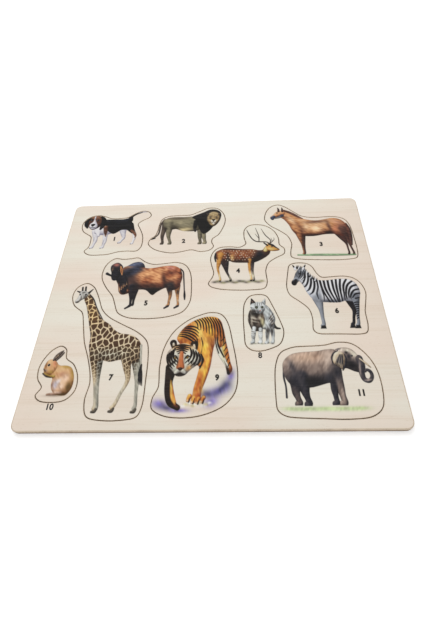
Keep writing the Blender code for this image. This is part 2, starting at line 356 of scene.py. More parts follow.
@dataclass
class Canvas:
    """Paint on the points of a printed face. Distances are millimetres from the board's middle.

    Args:
        points: where the paint can lie.
        hair_angle: which way the coat's hair runs, in degrees.
    """

    points: Array
    hair_angle: float = 0.0
    color: Array = field(init=False)
    ink: Array = field(init=False)
    fur: Array = field(init=False)
    every: Array = field(init=False)  # a mask that lets paint lie on bare wood too

    EDGE = 0.25  # half the width over which a painted edge fades
    NUMBER_EDGE = 0.16  # the same for a number
    BLEED = 0.22  # how far the ink of a number spreads
    DOT_GAIN = 0.4  # how much the press deepens a dark colour
    HAIR = (3.0, 1.1)  # length and width of the coat's streaks
    HAIR_CONTRAST = 1.7
    HAIR_SEED = 11
    GRAIN = 0.11  # how far the coat's streaks show in a breathed colour
    SUN = (-0.34, 0.66, 0.67)
    AMBIENT = 0.10
    FULL = 0.62
    LIMB_STEPS = 5

    def __post_init__(self) -> None:
        """Start with bare wood, and comb the coat's hair."""
        self.color = np.ones((len(self.points), 3))
        self.ink = np.zeros(len(self.points))
        self.every = np.ones(len(self.points))
        length, width = self.HAIR
        along, across = turned(self.points, self.hair_angle)
        fine = soft_noise(along / length, across / width, self.HAIR_SEED)
        coarse = soft_noise(along / (3 * length), across / (4 * width), self.HAIR_SEED + 1)
        self.fur = np.clip(self.HAIR_CONTRAST * (0.6 * fine + 0.4 * coarse), -1, 1)

    def near(self, low: Array, high: Array, reach: float) -> Array:
        """Numbers of the points in a box, grown by a reach."""
        inside = (self.points > np.array(low) - reach) & (self.points < np.array(high) + reach)
        return np.flatnonzero(inside.all(axis=1))

    def lay(self, where: Array, crisp: Array, faded: Array, color: Array, within: Optional[Array]) -> None:
        """Lay paint over what is there.

        Args:
            where: numbers of the points that it may reach.
            crisp: how much of each point it covers on bare wood.
            faded: how much of the paint that is there already it covers.
            color: its colour at each point.
            within: a mask over all points that limits both, or None.
        """
        if within is not None:
            crisp, faded = crisp * within[where], faded * within[where]
        there = self.ink[where]
        fresh = faded * there + crisp * (1 - there)
        kept = (1 - faded) * there
        mixed = color * fresh[:, None] + self.color[where] * kept[:, None]
        self.color[where] = mixed / np.maximum(fresh + kept, 1e-6)[:, None]
        self.ink[where] = there + crisp * (1 - there)

    def lay_coat(
        self, where: Array, depth: Array, normal: Array, coat: Coat, soft: float,
        lift: float, within: Optional[Array], strength: float,
    ) -> None:
        """Lay a coat on a rounded surface, lit from above on the left.

        Args:
            where: numbers of the points that it may reach.
            depth: how deep each lies inside its outline.
            normal: which way the surface leans there, in x and y.
            coat: its colours.
            soft: how far its edge fades where it lies over other paint.
            lift: added to its tone.
            within: a mask that says how much paint each point may take.
            strength: how much it covers.
        """
        rise = np.sqrt(np.clip(1 - np.sum(normal**2, axis=1), 0.02, 1))
        light = normal @ np.array(self.SUN[:2]) + rise * self.SUN[2]
        color = coat.at(self.AMBIENT + self.FULL * light + lift + coat.hair * self.fur[where])
        crisp = smoothstep(-self.EDGE, self.EDGE, depth)
        faded = smoothstep(0, soft, depth) if soft else crisp
        self.lay(where, crisp * strength, faded * strength, color, within)

    def limb(
        self, path: Path, coat: Coat, soft: float = 0.0, lift: float = 0.0,
        within: Optional[Array] = None, strength: float = 1.0,
    ) -> None:
        """Paint a rounded limb along a smooth line.

        Args:
            path: x, y and half width along its middle.
            coat: its colours.
            soft: as in lay_coat(), like the rest.
            lift: added to its tone.
            within: a mask over all points, or None.
            strength: how much it covers.
        """
        line = smooth_path(np.array(path, dtype=float), self.LIMB_STEPS)
        radius = np.maximum(line[:, 2], 0.05)
        where = self.near(line[:, :2].min(axis=0), line[:, :2].max(axis=0), radius.max() + 1)
        p = self.points[where]
        best = np.full(len(p), np.inf)
        depth = np.full(len(p), -np.inf)
        normal = np.zeros_like(p)
        for (a, b), (ra, rb) in zip(zip(line[:-1, :2], line[1:, :2]), zip(radius, radius[1:])):
            side = b - a
            t = np.clip((p - a) @ side / max(side @ side, 1e-9), 0, 1)
            off = p - a - t[:, None] * side
            r = ra + (rb - ra) * t
            far = np.linalg.norm(off, axis=1)
            closer = far / r < best
            best[closer] = (far / r)[closer]
            depth[closer] = (r - far)[closer]
            normal[closer] = (off / r[:, None])[closer]
        normal = np.clip(normal, -0.99, 0.99)
        self.lay_coat(where, depth, normal, coat, soft, lift, within, strength)

    def leg(
        self, hip: Spot, knee: Spot, foot: Spot, thick: float, thin: float, coat: Coat, soft: float = 0.0,
        lift: float = 0.0, sole: float = 1.0,
    ) -> None:
        """Paint a leg.

        Args:
            hip: its top.
            knee: its bend.
            foot: its lower end.
            thick: half its width at the hip.
            thin: half its width below the knee.
            coat: its colours.
            soft: as in lay_coat().
            lift: added to its tone.
            sole: how far below the foot's middle it is cut off flat.
        """
        hip, knee, foot = (np.array(place, dtype=float) for place in (hip, knee, foot))
        thigh, shin, ankle = (hip + knee) / 2, (knee + foot) / 2, 0.1 * knee + 0.9 * foot
        widths = (thick, 0.5 * thick + 0.6 * thin, 1.4 * thin, thin, 1.1 * thin, 1.3 * thin)
        toe = foot - np.array([0.6 * thin, 0])
        path = [(*place, width) for place, width in zip((hip, thigh, knee, shin, ankle, toe), widths)]
        above = smoothstep(-0.2, 0.2, self.points[:, 1] - foot[1] + sole)
        self.limb(path, coat, soft, lift, above)

    def patch(
        self, outline: list[Spot], coat: Coat, dome: float = 3.0, soft: float = 0.0,
        lift: float = 0.0, within: Optional[Array] = None, strength: float = 1.0, steps: int = 4,
    ) -> None:
        """Paint a closed shape whose surface rounds over towards its edge.

        Args:
            outline: points round it, which a smooth curve joins.
            coat: its colours.
            dome: how wide its rounded edge is.
            soft: as in lay_coat(), like the rest.
            lift: added to its tone.
            within: a mask over all points, or None.
            strength: how much it covers.
            steps: how finely the curve is cut, 1 for straight lines.
        """
        loop = smooth_loop(np.array(outline, dtype=float), steps)
        where = self.near(loop.min(axis=0), loop.max(axis=0), 1)
        depth, step = depth_in(self.points[where], [loop])
        slope = np.clip(1 - depth / dome, 0, 0.95)
        normal = step / (np.abs(depth) + 1e-6)[:, None] * slope[:, None]
        self.lay_coat(where, depth, normal, coat, soft, lift, within, strength)

    def spray(
        self, x: float, y: float, wide: float, high: float, color: Color, strength: float = 0.6,
        turn: float = 0.0, within: Optional[Array] = None,
    ) -> None:
        """Breathe a soft oval of colour over the paint that is there.

        Args:
            x: its middle.
            y: its middle.
            wide: how far it reaches across.
            high: how far it reaches along.
            color: its colour.
            strength: how much its middle covers.
            turn: how far it is turned, in degrees.
            within: a mask over all points that takes the place of the paint.
        """
        where = self.near((x, y), (x, y), 2.2 * max(wide, high))
        along, across = turned(self.points[where] - np.array([x, y]), turn)
        u, v = along / wide, across / high
        cover = strength * np.exp(-1.2 * (u * u + v * v))
        grained = shares(color) * (1 + self.GRAIN * self.fur[where])[:, None]
        self.lay(where, cover, cover, grained, self.ink if within is None else within)

    def sprays(self, rows: list[tuple]) -> None:
        """Breathe several ovals, each row as spray() takes it."""
        for row in rows:
            self.spray(*row)

    def dot(self, x: float, y: float, radius: float, color: Color, strength: float = 1.0) -> None:
        """Set a flat round spot.

        Args:
            x: its middle.
            y: its middle.
            radius: its size.
            color: its colour.
            strength: how much it covers.
        """
        where = self.near((x, y), (x, y), radius + 1)
        depth = radius - np.linalg.norm(self.points[where] - np.array([x, y]), axis=1)
        cover = smoothstep(-0.2, 0.2, depth) * strength
        self.lay(where, cover, cover, shares(color), None)

    def eye(self, x: float, y: float, radius: float, iris: Color) -> None:
        """Set an eye: its dark lid, its iris, its pupil and a glint.

        Args:
            x: its middle.
            y: its middle.
            radius: its size with the lid.
            iris: the iris's colour.
        """
        self.dot(x, y, radius, EYE_DARK)
        self.dot(x, y - 0.08 * radius, 0.68 * radius, iris, 0.9)
        self.dot(x, y, 0.38 * radius, EYE_DARK)
        self.dot(x - 0.25 * radius, y + 0.3 * radius, 0.2 * radius, GLINT, 0.9)

    def tiles(
        self, u: Array, v: Array, gap: float, tint: tuple[float, float, float], within: Array, seed: int,
    ) -> None:
        """Tint the paint in uneven tiles, and leave lines between them.

        Args:
            u: where each point lies across the tiles, which are about one unit wide.
            v: where each point lies along them.
            gap: width of the lines, in units.
            tint: what the paint is multiplied by.
            within: a mask over all points.
            seed: picks the pattern.
        """
        first = np.full(len(u), 9.0)
        second = first.copy()
        for step in range(9):
            ix, iy = np.floor(u) + step % 3 - 1, np.floor(v) + step // 3 - 1
            du = ix + 0.15 + 0.7 * scatter(ix, iy, seed) - u
            dv = iy + 0.15 + 0.7 * scatter(ix, iy, seed + 1) - v
            away = np.hypot(du, dv)
            second = np.minimum(second, np.maximum(first, away))
            first = np.minimum(first, away)
        cover = smoothstep(gap - 0.07, gap + 0.07, second - first) * within
        self.color *= 1 - cover[:, None] * (1 - np.array(tint))

    def pressed(self) -> Array:
        """The colours as the press prints them, which deepens the dark ones."""
        color = np.clip(self.color, 0, 1)
        return color * (1 - self.DOT_GAIN * (1 - color) ** 2)

    def shapes(self, loops: list[Loop], color: Color) -> None:
        """Print flat shapes, such as a number, over what is there.

        Args:
            loops: their outlines, filled even-odd.
            color: their colour.
        """
        where = self.near(np.vstack(loops).min(axis=0), np.vstack(loops).max(axis=0), 1)
        depth, _ = depth_in(self.points[where], loops)
        cover = smoothstep(-self.NUMBER_EDGE, self.NUMBER_EDGE, depth + self.BLEED)
        self.lay(where, cover, cover, shares(color), None)


# Finishes


class NodeSketch:
    """A node tree that is built one node at a time."""

    def __init__(self, tree: bpy.types.NodeTree) -> None:
        """Start with an empty tree."""
        self.tree = tree
        tree.nodes.clear()

    def add(self, kind: str, inputs: Optional[dict] = None, **settings: object) -> bpy.types.Node:
        """Add a node.

        Args:
            kind: its type's name.
            inputs: what each input socket holds: a value, or the output socket that feeds it.
            settings: the node's own properties.

        Returns:
            The node.
        """
        node = self.tree.nodes.new(kind)
        for key, value in settings.items():
            setattr(node, key, value)
        for key, value in (inputs or {}).items():
            if isinstance(value, Socket):
                self.tree.links.new(value, node.inputs[key])
            else:
                node.inputs[key].default_value = value
        return node

    def math(self, operation: str, a: object, b: object) -> Socket:
        """One sum on two values."""
        return self.add("ShaderNodeMath", {0: a, 1: b}, operation=operation).outputs[0]

    def times(self, a: object, b: object) -> Socket:
        """Two values, multiplied."""
        return self.math("MULTIPLY", a, b)

    def vector(self, operation: str, a: object, b: object = (0, 0, 0)) -> Socket:
        """One sum on vectors. To scale, b is a number."""
        key = "Scale" if operation == "SCALE" else 1
        return self.add("ShaderNodeVectorMath", {0: a, key: b}, operation=operation).outputs[0]


class MaterialSketch(NodeSketch):
    """A material's tree, with the mixes and noises that wood and fibre need."""

    def __init__(self, name: str) -> None:
        """Start a material and a place to read its patterns at.

        Args:
            name: the material's name.
        """
        self.material = bpy.data.materials.new(name)
        self.material.use_nodes = True
        super().__init__(self.material.node_tree)
        self.place = self.add("ShaderNodeTexCoord").outputs["Object"]

    def noise(
        self, across: tuple[float, float, float], detail: float = 3.0, rough: float = 0.55,
        shift: float = 0.0, bend: float = 0.0,
    ) -> Socket:
        """Noise from 0 to 1.

        Args:
            across: how many metres one feature measures along X, Y and Z.
            detail: how many finer layers it has.
            rough: how strong those are.
            shift: moves it, so that two noises differ.
            bend: how far it is drawn out of shape.

        Returns:
            The socket that gives it.
        """
        scale = tuple(1 / a for a in across)
        at = self.add("ShaderNodeMapping", {"Vector": self.place, "Scale": scale, "Location": (shift,) * 3})
        noise = self.add(
            "ShaderNodeTexNoise",
            {"Vector": at.outputs[0], "Scale": 1.0, "Detail": detail, "Roughness": rough, "Distortion": bend},
        )
        return noise.outputs["Fac"]

    def step(self, value: Socket, low: float, high: float, bottom: float = 0.0, top: float = 1.0) -> Socket:
        """A value that goes softly from bottom to top as another goes from low to high."""
        inputs = {"Value": value, "From Min": low, "From Max": high, "To Min": bottom, "To Max": top}
        return self.add("ShaderNodeMapRange", inputs, interpolation_type="SMOOTHSTEP").outputs["Result"]

    def mix(self, share: object, a: object, b: object) -> Socket:
        """A colour between two, each a screen colour or a socket."""
        ends = {key: shader_color(end) if isinstance(end, int) else end for key, end in ((6, a), (7, b))}
        return self.add("ShaderNodeMix", {0: share, **ends}, data_type="RGBA").outputs[2]

    def attribute(self, name: str, output: str) -> Socket:
        """A value that each of the mesh's points carries."""
        return self.add("ShaderNodeAttribute", attribute_name=name).outputs[output]

    def finish(
        self, color: object, roughness: object, height: Socket, relief: float, **surface: float,
    ) -> Material:
        """Close the tree with its shader.

        Args:
            color: the base colour.
            roughness: a number or a socket.
            height: relief from 0 to 1.
            relief: how high 1 stands, in metres.
            surface: other sockets of the shader, by name, with _ for a space.

        Returns:
            The material.
        """
        inputs = {name.replace("_", " "): value for name, value in surface.items()}
        bump = self.add("ShaderNodeBump", {"Height": height, "Distance": relief, "Strength": 1.0})
        inputs |= {"Base Color": color, "Roughness": roughness, "Normal": bump.outputs[0]}
        shader = self.add("ShaderNodeBsdfPrincipled", inputs)
        self.add("ShaderNodeOutputMaterial", {"Surface": shader.outputs[0]})
        return self.material


@dataclass(frozen=True)
class Veneer:
    """The plywood's pale face under its clear coat. Its grain runs along the board, across every cut."""

    cream: Color = 0xF6F0E1
    pink: Color = 0xF6E6D6
    grain: Color = 0xE0CBB2
    fleck: Color = 0xC4A88A
    toast: Color = 0x967A5C
    coat_roughness: float = 0.42
    relief: float = 0.00004

    def color(self, sketch: MaterialSketch) -> tuple[Socket, Socket]:
        """Draw the bare wood.

        Args:
            sketch: the material it is for.

        Returns:
            Its colour, and its grain from 0 to 1.
        """
        clouds = sketch.step(sketch.noise((0.110, 0.034, 0.1), 2, 0.5, shift=3.1), 0.30, 0.70)
        bands = sketch.noise((0.240, 0.0065, 0.1), 3, 0.6, shift=7.7, bend=0.25)
        lines = sketch.noise((0.070, 0.0011, 0.1), 4, 0.65, shift=1.3, bend=0.15)
        flecks = sketch.noise((0.0034, 0.00042, 0.1), 1, 0.4, shift=5.9)
        grain = sketch.times(sketch.step(bands, 0.36, 0.70), sketch.step(lines, 0.38, 0.72))
        color = sketch.mix(clouds, self.pink, self.cream)
        color = sketch.mix(sketch.times(grain, 0.42), color, self.grain)
        return sketch.mix(sketch.step(flecks, 0.66, 0.80, 0.0, 0.34), color, self.fleck), lines

    def toasted(self, sketch: MaterialSketch, color: Socket) -> Socket:
        """A colour with the brown edge that the saw's heat leaves."""
        uneven = sketch.step(sketch.noise((0.004, 0.004, 0.1), 2, shift=2.2), 0.3, 0.7, 0.45, 0.95)
        return sketch.mix(sketch.times(sketch.attribute("toast", "Fac"), uneven), color, self.toast)

    def material(self) -> Material:
        """Make this finish.

        Returns:
            The material of the frame board's face.
        """
        sketch = MaterialSketch("veneer")
        color, lines = self.color(sketch)
        rough = sketch.step(lines, 0.3, 0.7, self.coat_roughness - 0.05, self.coat_roughness + 0.07)
        color = self.toasted(sketch, color)
        return sketch.finish(color, rough, lines, self.relief, Specular_IOR_Level=0.2)


@dataclass(frozen=True)
class PrintedVeneer:
    """The pieces' face: the same wood with a colour print, through which the grain still shows."""

    wood: Veneer = Veneer()
    cover: float = 0.997
    print_roughness: float = 0.36

    def material(self) -> Material:
        """Make this finish.

        Returns:
            The material of the pieces' face.
        """
        sketch = MaterialSketch("printed_veneer")
        bare, lines = self.wood.color(sketch)
        dots = sketch.step(sketch.noise((0.0002, 0.0002, 0.1), 1, 0.3, shift=9.1), 0.25, 0.75, 0.985, 1.0)
        hold = sketch.times(dots, sketch.step(lines, 0.35, 0.75, self.cover, self.cover - 0.02))
        ink = sketch.attribute("ink", "Fac")
        color = sketch.mix(sketch.times(ink, hold), bare, sketch.attribute("print_color", "Color"))
        rough = sketch.step(ink, 0.0, 1.0, self.wood.coat_roughness, self.print_roughness)
        color = self.wood.toasted(sketch, color)
        return sketch.finish(color, rough, lines, self.wood.relief, Specular_IOR_Level=0.05)


@dataclass(frozen=True)
class SawnPly:
    """The plywood's sawn edge: three plies, browned by the blade and scored from face to back."""

    face_ply: Color = 0xE8D6BE
    core_ply: Color = 0xA88A6C
    burnt: Color = 0x70543C
    ply_height: float = 0.001
    roughness: float = 0.8
    relief: float = 0.00009

    def material(self) -> Material:
        """Make this finish.

        Returns:
            The material of the walls of every cut.
        """
        sketch = MaterialSketch("sawn_plywood")
        height = sketch.add("ShaderNodeSeparateXYZ", {0: sketch.place}).outputs["Z"]
        above = sketch.math("SUBTRACT", height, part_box("frame_board")[0].z)
        ply = sketch.math("DIVIDE", above, self.ply_height)
        middle = sketch.math("ABSOLUTE", sketch.math("SUBTRACT", ply, 1.5), 0.0)
        core = sketch.step(middle, 0.42, 0.56, 1.0, 0.0)
        glue = sketch.times(sketch.step(middle, 0.44, 0.5), sketch.step(middle, 0.5, 0.56, 1.0, 0.0))
        scores = sketch.noise((0.00045, 0.00045, 0.006), 3, 0.6)
        scorch = sketch.step(sketch.noise((0.011, 0.011, 0.02), 3, 0.6, shift=4.0), 0.35, 0.7, 0.0, 0.45)
        color = sketch.mix(core, self.face_ply, self.core_ply)
        color = sketch.mix(sketch.times(glue, 0.7), color, self.burnt)
        color = sketch.mix(sketch.times(scorch, sketch.step(scores, 0.3, 0.7)), color, self.burnt)
        return sketch.finish(color, self.roughness, scores, self.relief)


@dataclass(frozen=True)
class PlyBack:
    """The pieces' unfinished underside: a coarser, greyer veneer."""

    pale: Color = 0xD6C0A0
    dark: Color = 0xB2926E
    pore: Color = 0x8C6A4C
    roughness: float = 0.72
    relief: float = 0.00008

    def material(self) -> Material:
        """Make this finish.

        Returns:
            The material of the back of the sheet.
        """
        sketch = MaterialSketch("plywood_back")
        bands = sketch.noise((0.160, 0.005, 0.1), 3, 0.6, shift=6.0, bend=0.4)
        lines = sketch.noise((0.040, 0.0008, 0.1), 4, 0.7, shift=8.0)
        pores = sketch.noise((0.0050, 0.00035, 0.1), 1, 0.4, shift=2.0)
        color = sketch.mix(sketch.step(bands, 0.35, 0.7), self.pale, self.dark)
        color = sketch.mix(sketch.step(lines, 0.5, 0.75, 0.0, 0.4), color, self.dark)
        color = sketch.mix(sketch.step(pores, 0.62, 0.74, 0.0, 0.5), color, self.pore)
        return sketch.finish(color, self.roughness, lines, self.relief)


@dataclass(frozen=True)
class NumberInk:
    """Black print straight on the board, thin enough for the grain to grey it."""

    black: Color = 0x181616
    worn: Color = 0x2E2A28
    roughness: float = 0.42
    relief: float = 0.00003

    def material(self) -> Material:
        """Make this finish.

        Returns:
            The material of the numbers on the board.
        """
        sketch = MaterialSketch("number_ink")
        lines = sketch.noise((0.070, 0.0011, 0.1), 4, 0.65, shift=1.3)
        dots = sketch.noise((0.0003, 0.0003, 0.1), 2, 0.5)
        share = sketch.times(sketch.step(lines, 0.4, 0.7), sketch.step(dots, 0.45, 0.7))
        color = sketch.mix(share, self.black, self.worn)
        return sketch.finish(color, self.roughness, lines, self.relief, Specular_IOR_Level=0.2)


@dataclass(frozen=True)
class Hardboard:
    """Pressed brown fibre: smooth above, with the press screen's weave below."""

    fibre: Color = 0x705844
    light: Color = 0x92765C
    dark: Color = 0x48362A
    screen_pitch: float = 0.0012
    relief: float = 0.00012

    def material(self) -> Material:
        """Make this finish.

        Returns:
            The material of the base board.
        """
        sketch = MaterialSketch("hardboard")
        clouds = sketch.noise((0.03, 0.03, 0.03), 3, 0.6)
        threads = sketch.noise((0.0022, 0.0006, 0.0008), 3, 0.7, bend=1.2)
        specks = sketch.noise((0.0009, 0.0009, 0.0009), 2, 0.6, shift=4.4)
        color = sketch.mix(sketch.step(clouds, 0.3, 0.7), self.fibre, self.light)
        color = sketch.mix(sketch.step(threads, 0.5, 0.72, 0.0, 0.55), color, self.light)
        color = sketch.mix(sketch.step(specks, 0.6, 0.75, 0.0, 0.6), color, self.dark)
        weave = None
        for axis in "XY":
            inputs = {"Vector": sketch.place, "Scale": 1 / (self.screen_pitch * 20 / math.tau)}
            bands = sketch.add("ShaderNodeTexWave", inputs, wave_type="BANDS", bands_direction=axis)
            wave = bands.outputs["Fac"]
            weave = wave if weave is None else sketch.times(weave, wave)
        facing = sketch.add("ShaderNodeNewGeometry").outputs["Normal"]
        rise = sketch.add("ShaderNodeSeparateXYZ", {0: facing}).outputs["Z"]
        below = sketch.step(rise, -0.6, -0.4, 1.0, 0.0)
        height = sketch.math("ADD", sketch.times(weave, below), sketch.times(threads, 0.3))
        color = sketch.mix(sketch.times(sketch.times(weave, below), 0.5), color, self.dark)
        return sketch.finish(color, sketch.step(specks, 0.3, 0.7, 0.62, 0.8), height, self.relief)


@dataclass(frozen=True)
class Ferrite:
    """A sintered magnet: charcoal grey, ground flat in one direction."""

    grey: Color = 0x4A4848
    dark: Color = 0x2C2A2B
    grit: Color = 0x706C6A
    relief: float = 0.00003
    metal: float = 0.25

    def material(self) -> Material:
        """Make this finish.

        Returns:
            The material of the magnets.
        """
        sketch = MaterialSketch("ferrite")
        ground = sketch.noise((0.006, 0.00018, 0.002), 2, 0.6)
        grain = sketch.noise((0.00025, 0.00025, 0.00025), 2, 0.6, shift=3.0)
        color = sketch.mix(sketch.step(ground, 0.35, 0.7), self.dark, self.grey)
        color = sketch.mix(sketch.step(grain, 0.62, 0.75, 0.0, 0.7), color, self.grit)
        rough = sketch.step(ground, 0.3, 0.7, 0.38, 0.55)
        return sketch.finish(color, rough, grain, self.relief, Metallic=self.metal)


# Cut shapes


@dataclass
class SawLine:
    """A closed line that the saw follows, anticlockwise. The wood lies inside it or, round a pocket, outside.

    Args:
        loop: its points, in metres.
        arris: the worn edge's radius.
        toast: how brown the saw's heat leaves that edge, from 0 to 1.
        pocket: whether the wood lies outside.
    """

    loop: Loop
    arris: float
    toast: float = 0.8
    pocket: bool = False

    def moved(self, by: float) -> Loop:
        """The line, moved into the wood."""
        return self.loop + outward_of(self.loop) * (by if self.pocket else -by)


def filled(areas: list[Loop], loose: Array) -> list[tuple[list[int], list[int]]]:
    """Fill closed areas with triangles.

    Args:
        areas: anticlockwise loops, which may lie in each other.
        loose: further points, n by 2.

    Returns:
        For each triangle, the numbers of its points, counted through the areas and on, and of the areas
        that hold it.
    """
    rounds = []
    total = 0
    for loop in areas:
        rounds.append(list(range(total, total + len(loop))))
        total += len(loop)
    spots = [Vector(spot) for spot in np.vstack([*areas, loose])]
    found = delaunay_2d_cdt(spots, [], rounds, 1, 1e-9)
    if len(found[0]) != len(spots):
        raise ValueError("two outlines of a flat face touch")
    return list(zip(found[2], found[5]))


@dataclass
class SawCut:
    """What the saw leaves at an edge: a worn arris, then a scored wall down to the back's small bevel.

    The mesh that it is run on is the flat face alone. Its open rim goes down along the point attribute
    "outward", whose length is the arris's radius.
    """

    height: float
    bevel: float = 0.00012
    score_depth: float = 0.00004
    score_width: float = 0.0009
    seed: float = 7.0
    arris_rows: int = 4
    wall_rows: int = 3

    SIZES = ("Height", "Bevel", "Score Depth", "Score Width", "Seed")

    def tree(self) -> bpy.types.NodeTree:
        """Build the node group.

        Returns:
            The group, which any of the sheet's shapes can use.
        """
        group = bpy.data.node_groups.new("saw_cut", "GeometryNodeTree")
        kinds = {"Geometry": "Geometry", **dict.fromkeys(self.SIZES, "Float"), "Wall Material": "Material"}
        for name, kind in kinds.items():
            group.interface.new_socket(name, in_out="INPUT", socket_type="NodeSocket" + kind)
        group.interface.new_socket("Geometry", in_out="OUTPUT", socket_type="NodeSocketGeometry")
        sketch = NodeSketch(group)
        given = sketch.add("NodeGroupInput").outputs

        def down(amount: object) -> Socket:
            """A step straight down."""
            return sketch.add("ShaderNodeCombineXYZ", {"Z": sketch.times(amount, -1.0)}).outputs[0]

        named = sketch.add("GeometryNodeInputNamedAttribute", {"Name": "outward"}, data_type="FLOAT_VECTOR")
        outward = named.outputs["Attribute"]
        radius = sketch.add("ShaderNodeVectorMath", {0: outward}, operation="LENGTH").outputs["Value"]
        inward = sketch.vector("SCALE", sketch.vector("NORMALIZE", outward), -1.0)
        straight = sketch.math("SUBTRACT", sketch.math("SUBTRACT", given["Height"], radius), given["Bevel"])
        steps = []
        turns = np.linspace(0, math.pi / 2, self.arris_rows + 1)
        for a, b in zip(turns, turns[1:]):
            side = sketch.vector("SCALE", outward, math.sin(b) - math.sin(a))
            drop = sketch.times(radius, math.cos(a) - math.cos(b))
            steps.append(sketch.vector("ADD", side, down(drop)))
        steps += [down(sketch.math("DIVIDE", straight, float(self.wall_rows)))] * self.wall_rows
        tucked = sketch.vector("SCALE", inward, given["Bevel"])
        steps.append(sketch.vector("ADD", tucked, down(given["Bevel"])))

        width = given["Score Width"]
        cell = sketch.add("ShaderNodeCombineXYZ", {"X": width, "Y": width, "Z": sketch.times(width, 9.0)})
        rim = sketch.add("GeometryNodeInputMeshEdgeNeighbors").outputs["Face Count"]
        compare = sketch.add("FunctionNodeCompare", {2: rim, 3: 1}, data_type="INT", operation="EQUAL")
        chosen = compare.outputs["Result"]
        mesh, wall = given["Geometry"], None
        for number, offset in enumerate(steps):
            inputs = {"Mesh": mesh, "Selection": chosen, "Offset Scale": 0.0}
            pulled = sketch.add("GeometryNodeExtrudeMesh", inputs, mode="EDGES").outputs
            mesh, chosen = pulled["Mesh"], pulled["Top"]
            offsets = [offset]
            if self.arris_rows <= number + 1 < len(steps):
                position = sketch.add("GeometryNodeInputPosition").outputs[0]
                place = sketch.vector("DIVIDE", position, cell.outputs[0])
                inputs = {"Vector": place, "W": given["Seed"], "Scale": 1.0, "Detail": 2.0}
                noise = sketch.add("ShaderNodeTexNoise", inputs, noise_dimensions="4D").outputs[0]
                depth = sketch.times(noise, given["Score Depth"])
                offsets.append(sketch.vector("SCALE", inward, depth))
            for by in offsets:
                inputs = {"Geometry": mesh, "Selection": chosen, "Offset": by}
                mesh = sketch.add("GeometryNodeSetPosition", inputs).outputs[0]
            side = pulled["Side"]
            either = {0: side if wall is None else wall, 1: side}
            wall = sketch.add("FunctionNodeBooleanMath", either, operation="OR").outputs[0]
        whole = sketch.add("GeometryNodeRealizeInstances", {"Geometry": mesh}).outputs[0]
        inputs = {"Geometry": whole, "Selection": wall, "Material": given["Wall Material"]}
        sketch.add("NodeGroupOutput", {"Geometry": sketch.add("GeometryNodeSetMaterial", inputs).outputs[0]})
        return group

    def run(
        self, face: bpy.types.Object, tree: bpy.types.NodeTree, wall: Material,
    ) -> bpy.types.Mesh:
        """Pull a face's open rim down into walls.

        Args:
            face: the object that holds the flat face.
            tree: the node group from tree().
            wall: the walls' material.

        Returns:
            The face with its walls, open at the back.
        """
        values = (self.height, self.bevel, self.score_depth, self.score_width, self.seed, wall)
        modifier = face.modifiers.new("saw_cut", "NODES")
        modifier.node_group = tree
        sockets = {s.name: s.identifier for s in tree.interface.items_tree if s.in_out == "INPUT"}
        for name, value in zip((*self.SIZES, "Wall Material"), values):
            modifier[sockets[name]] = value
        graph = bpy.context.evaluated_depsgraph_get()
        graph.update()
        shown = face.evaluated_get(graph)
        mesh = bpy.data.meshes.new_from_object(shown, preserve_all_data_layers=True, depsgraph=graph)
        face.modifiers.remove(modifier)
        return mesh


class Finishes:
    """Every material of the puzzle, made once."""

    def __init__(self) -> None:
        """Make them. The sheet's own come in the order of Wood's values."""
        self.face = Veneer().material()
        self.printed = PrintedVeneer().material()
        self.sawn = [SawnPly().material(), PlyBack().material(), NumberInk().material()]
        self.board = Hardboard().material()
        self.magnet = Ferrite().material()


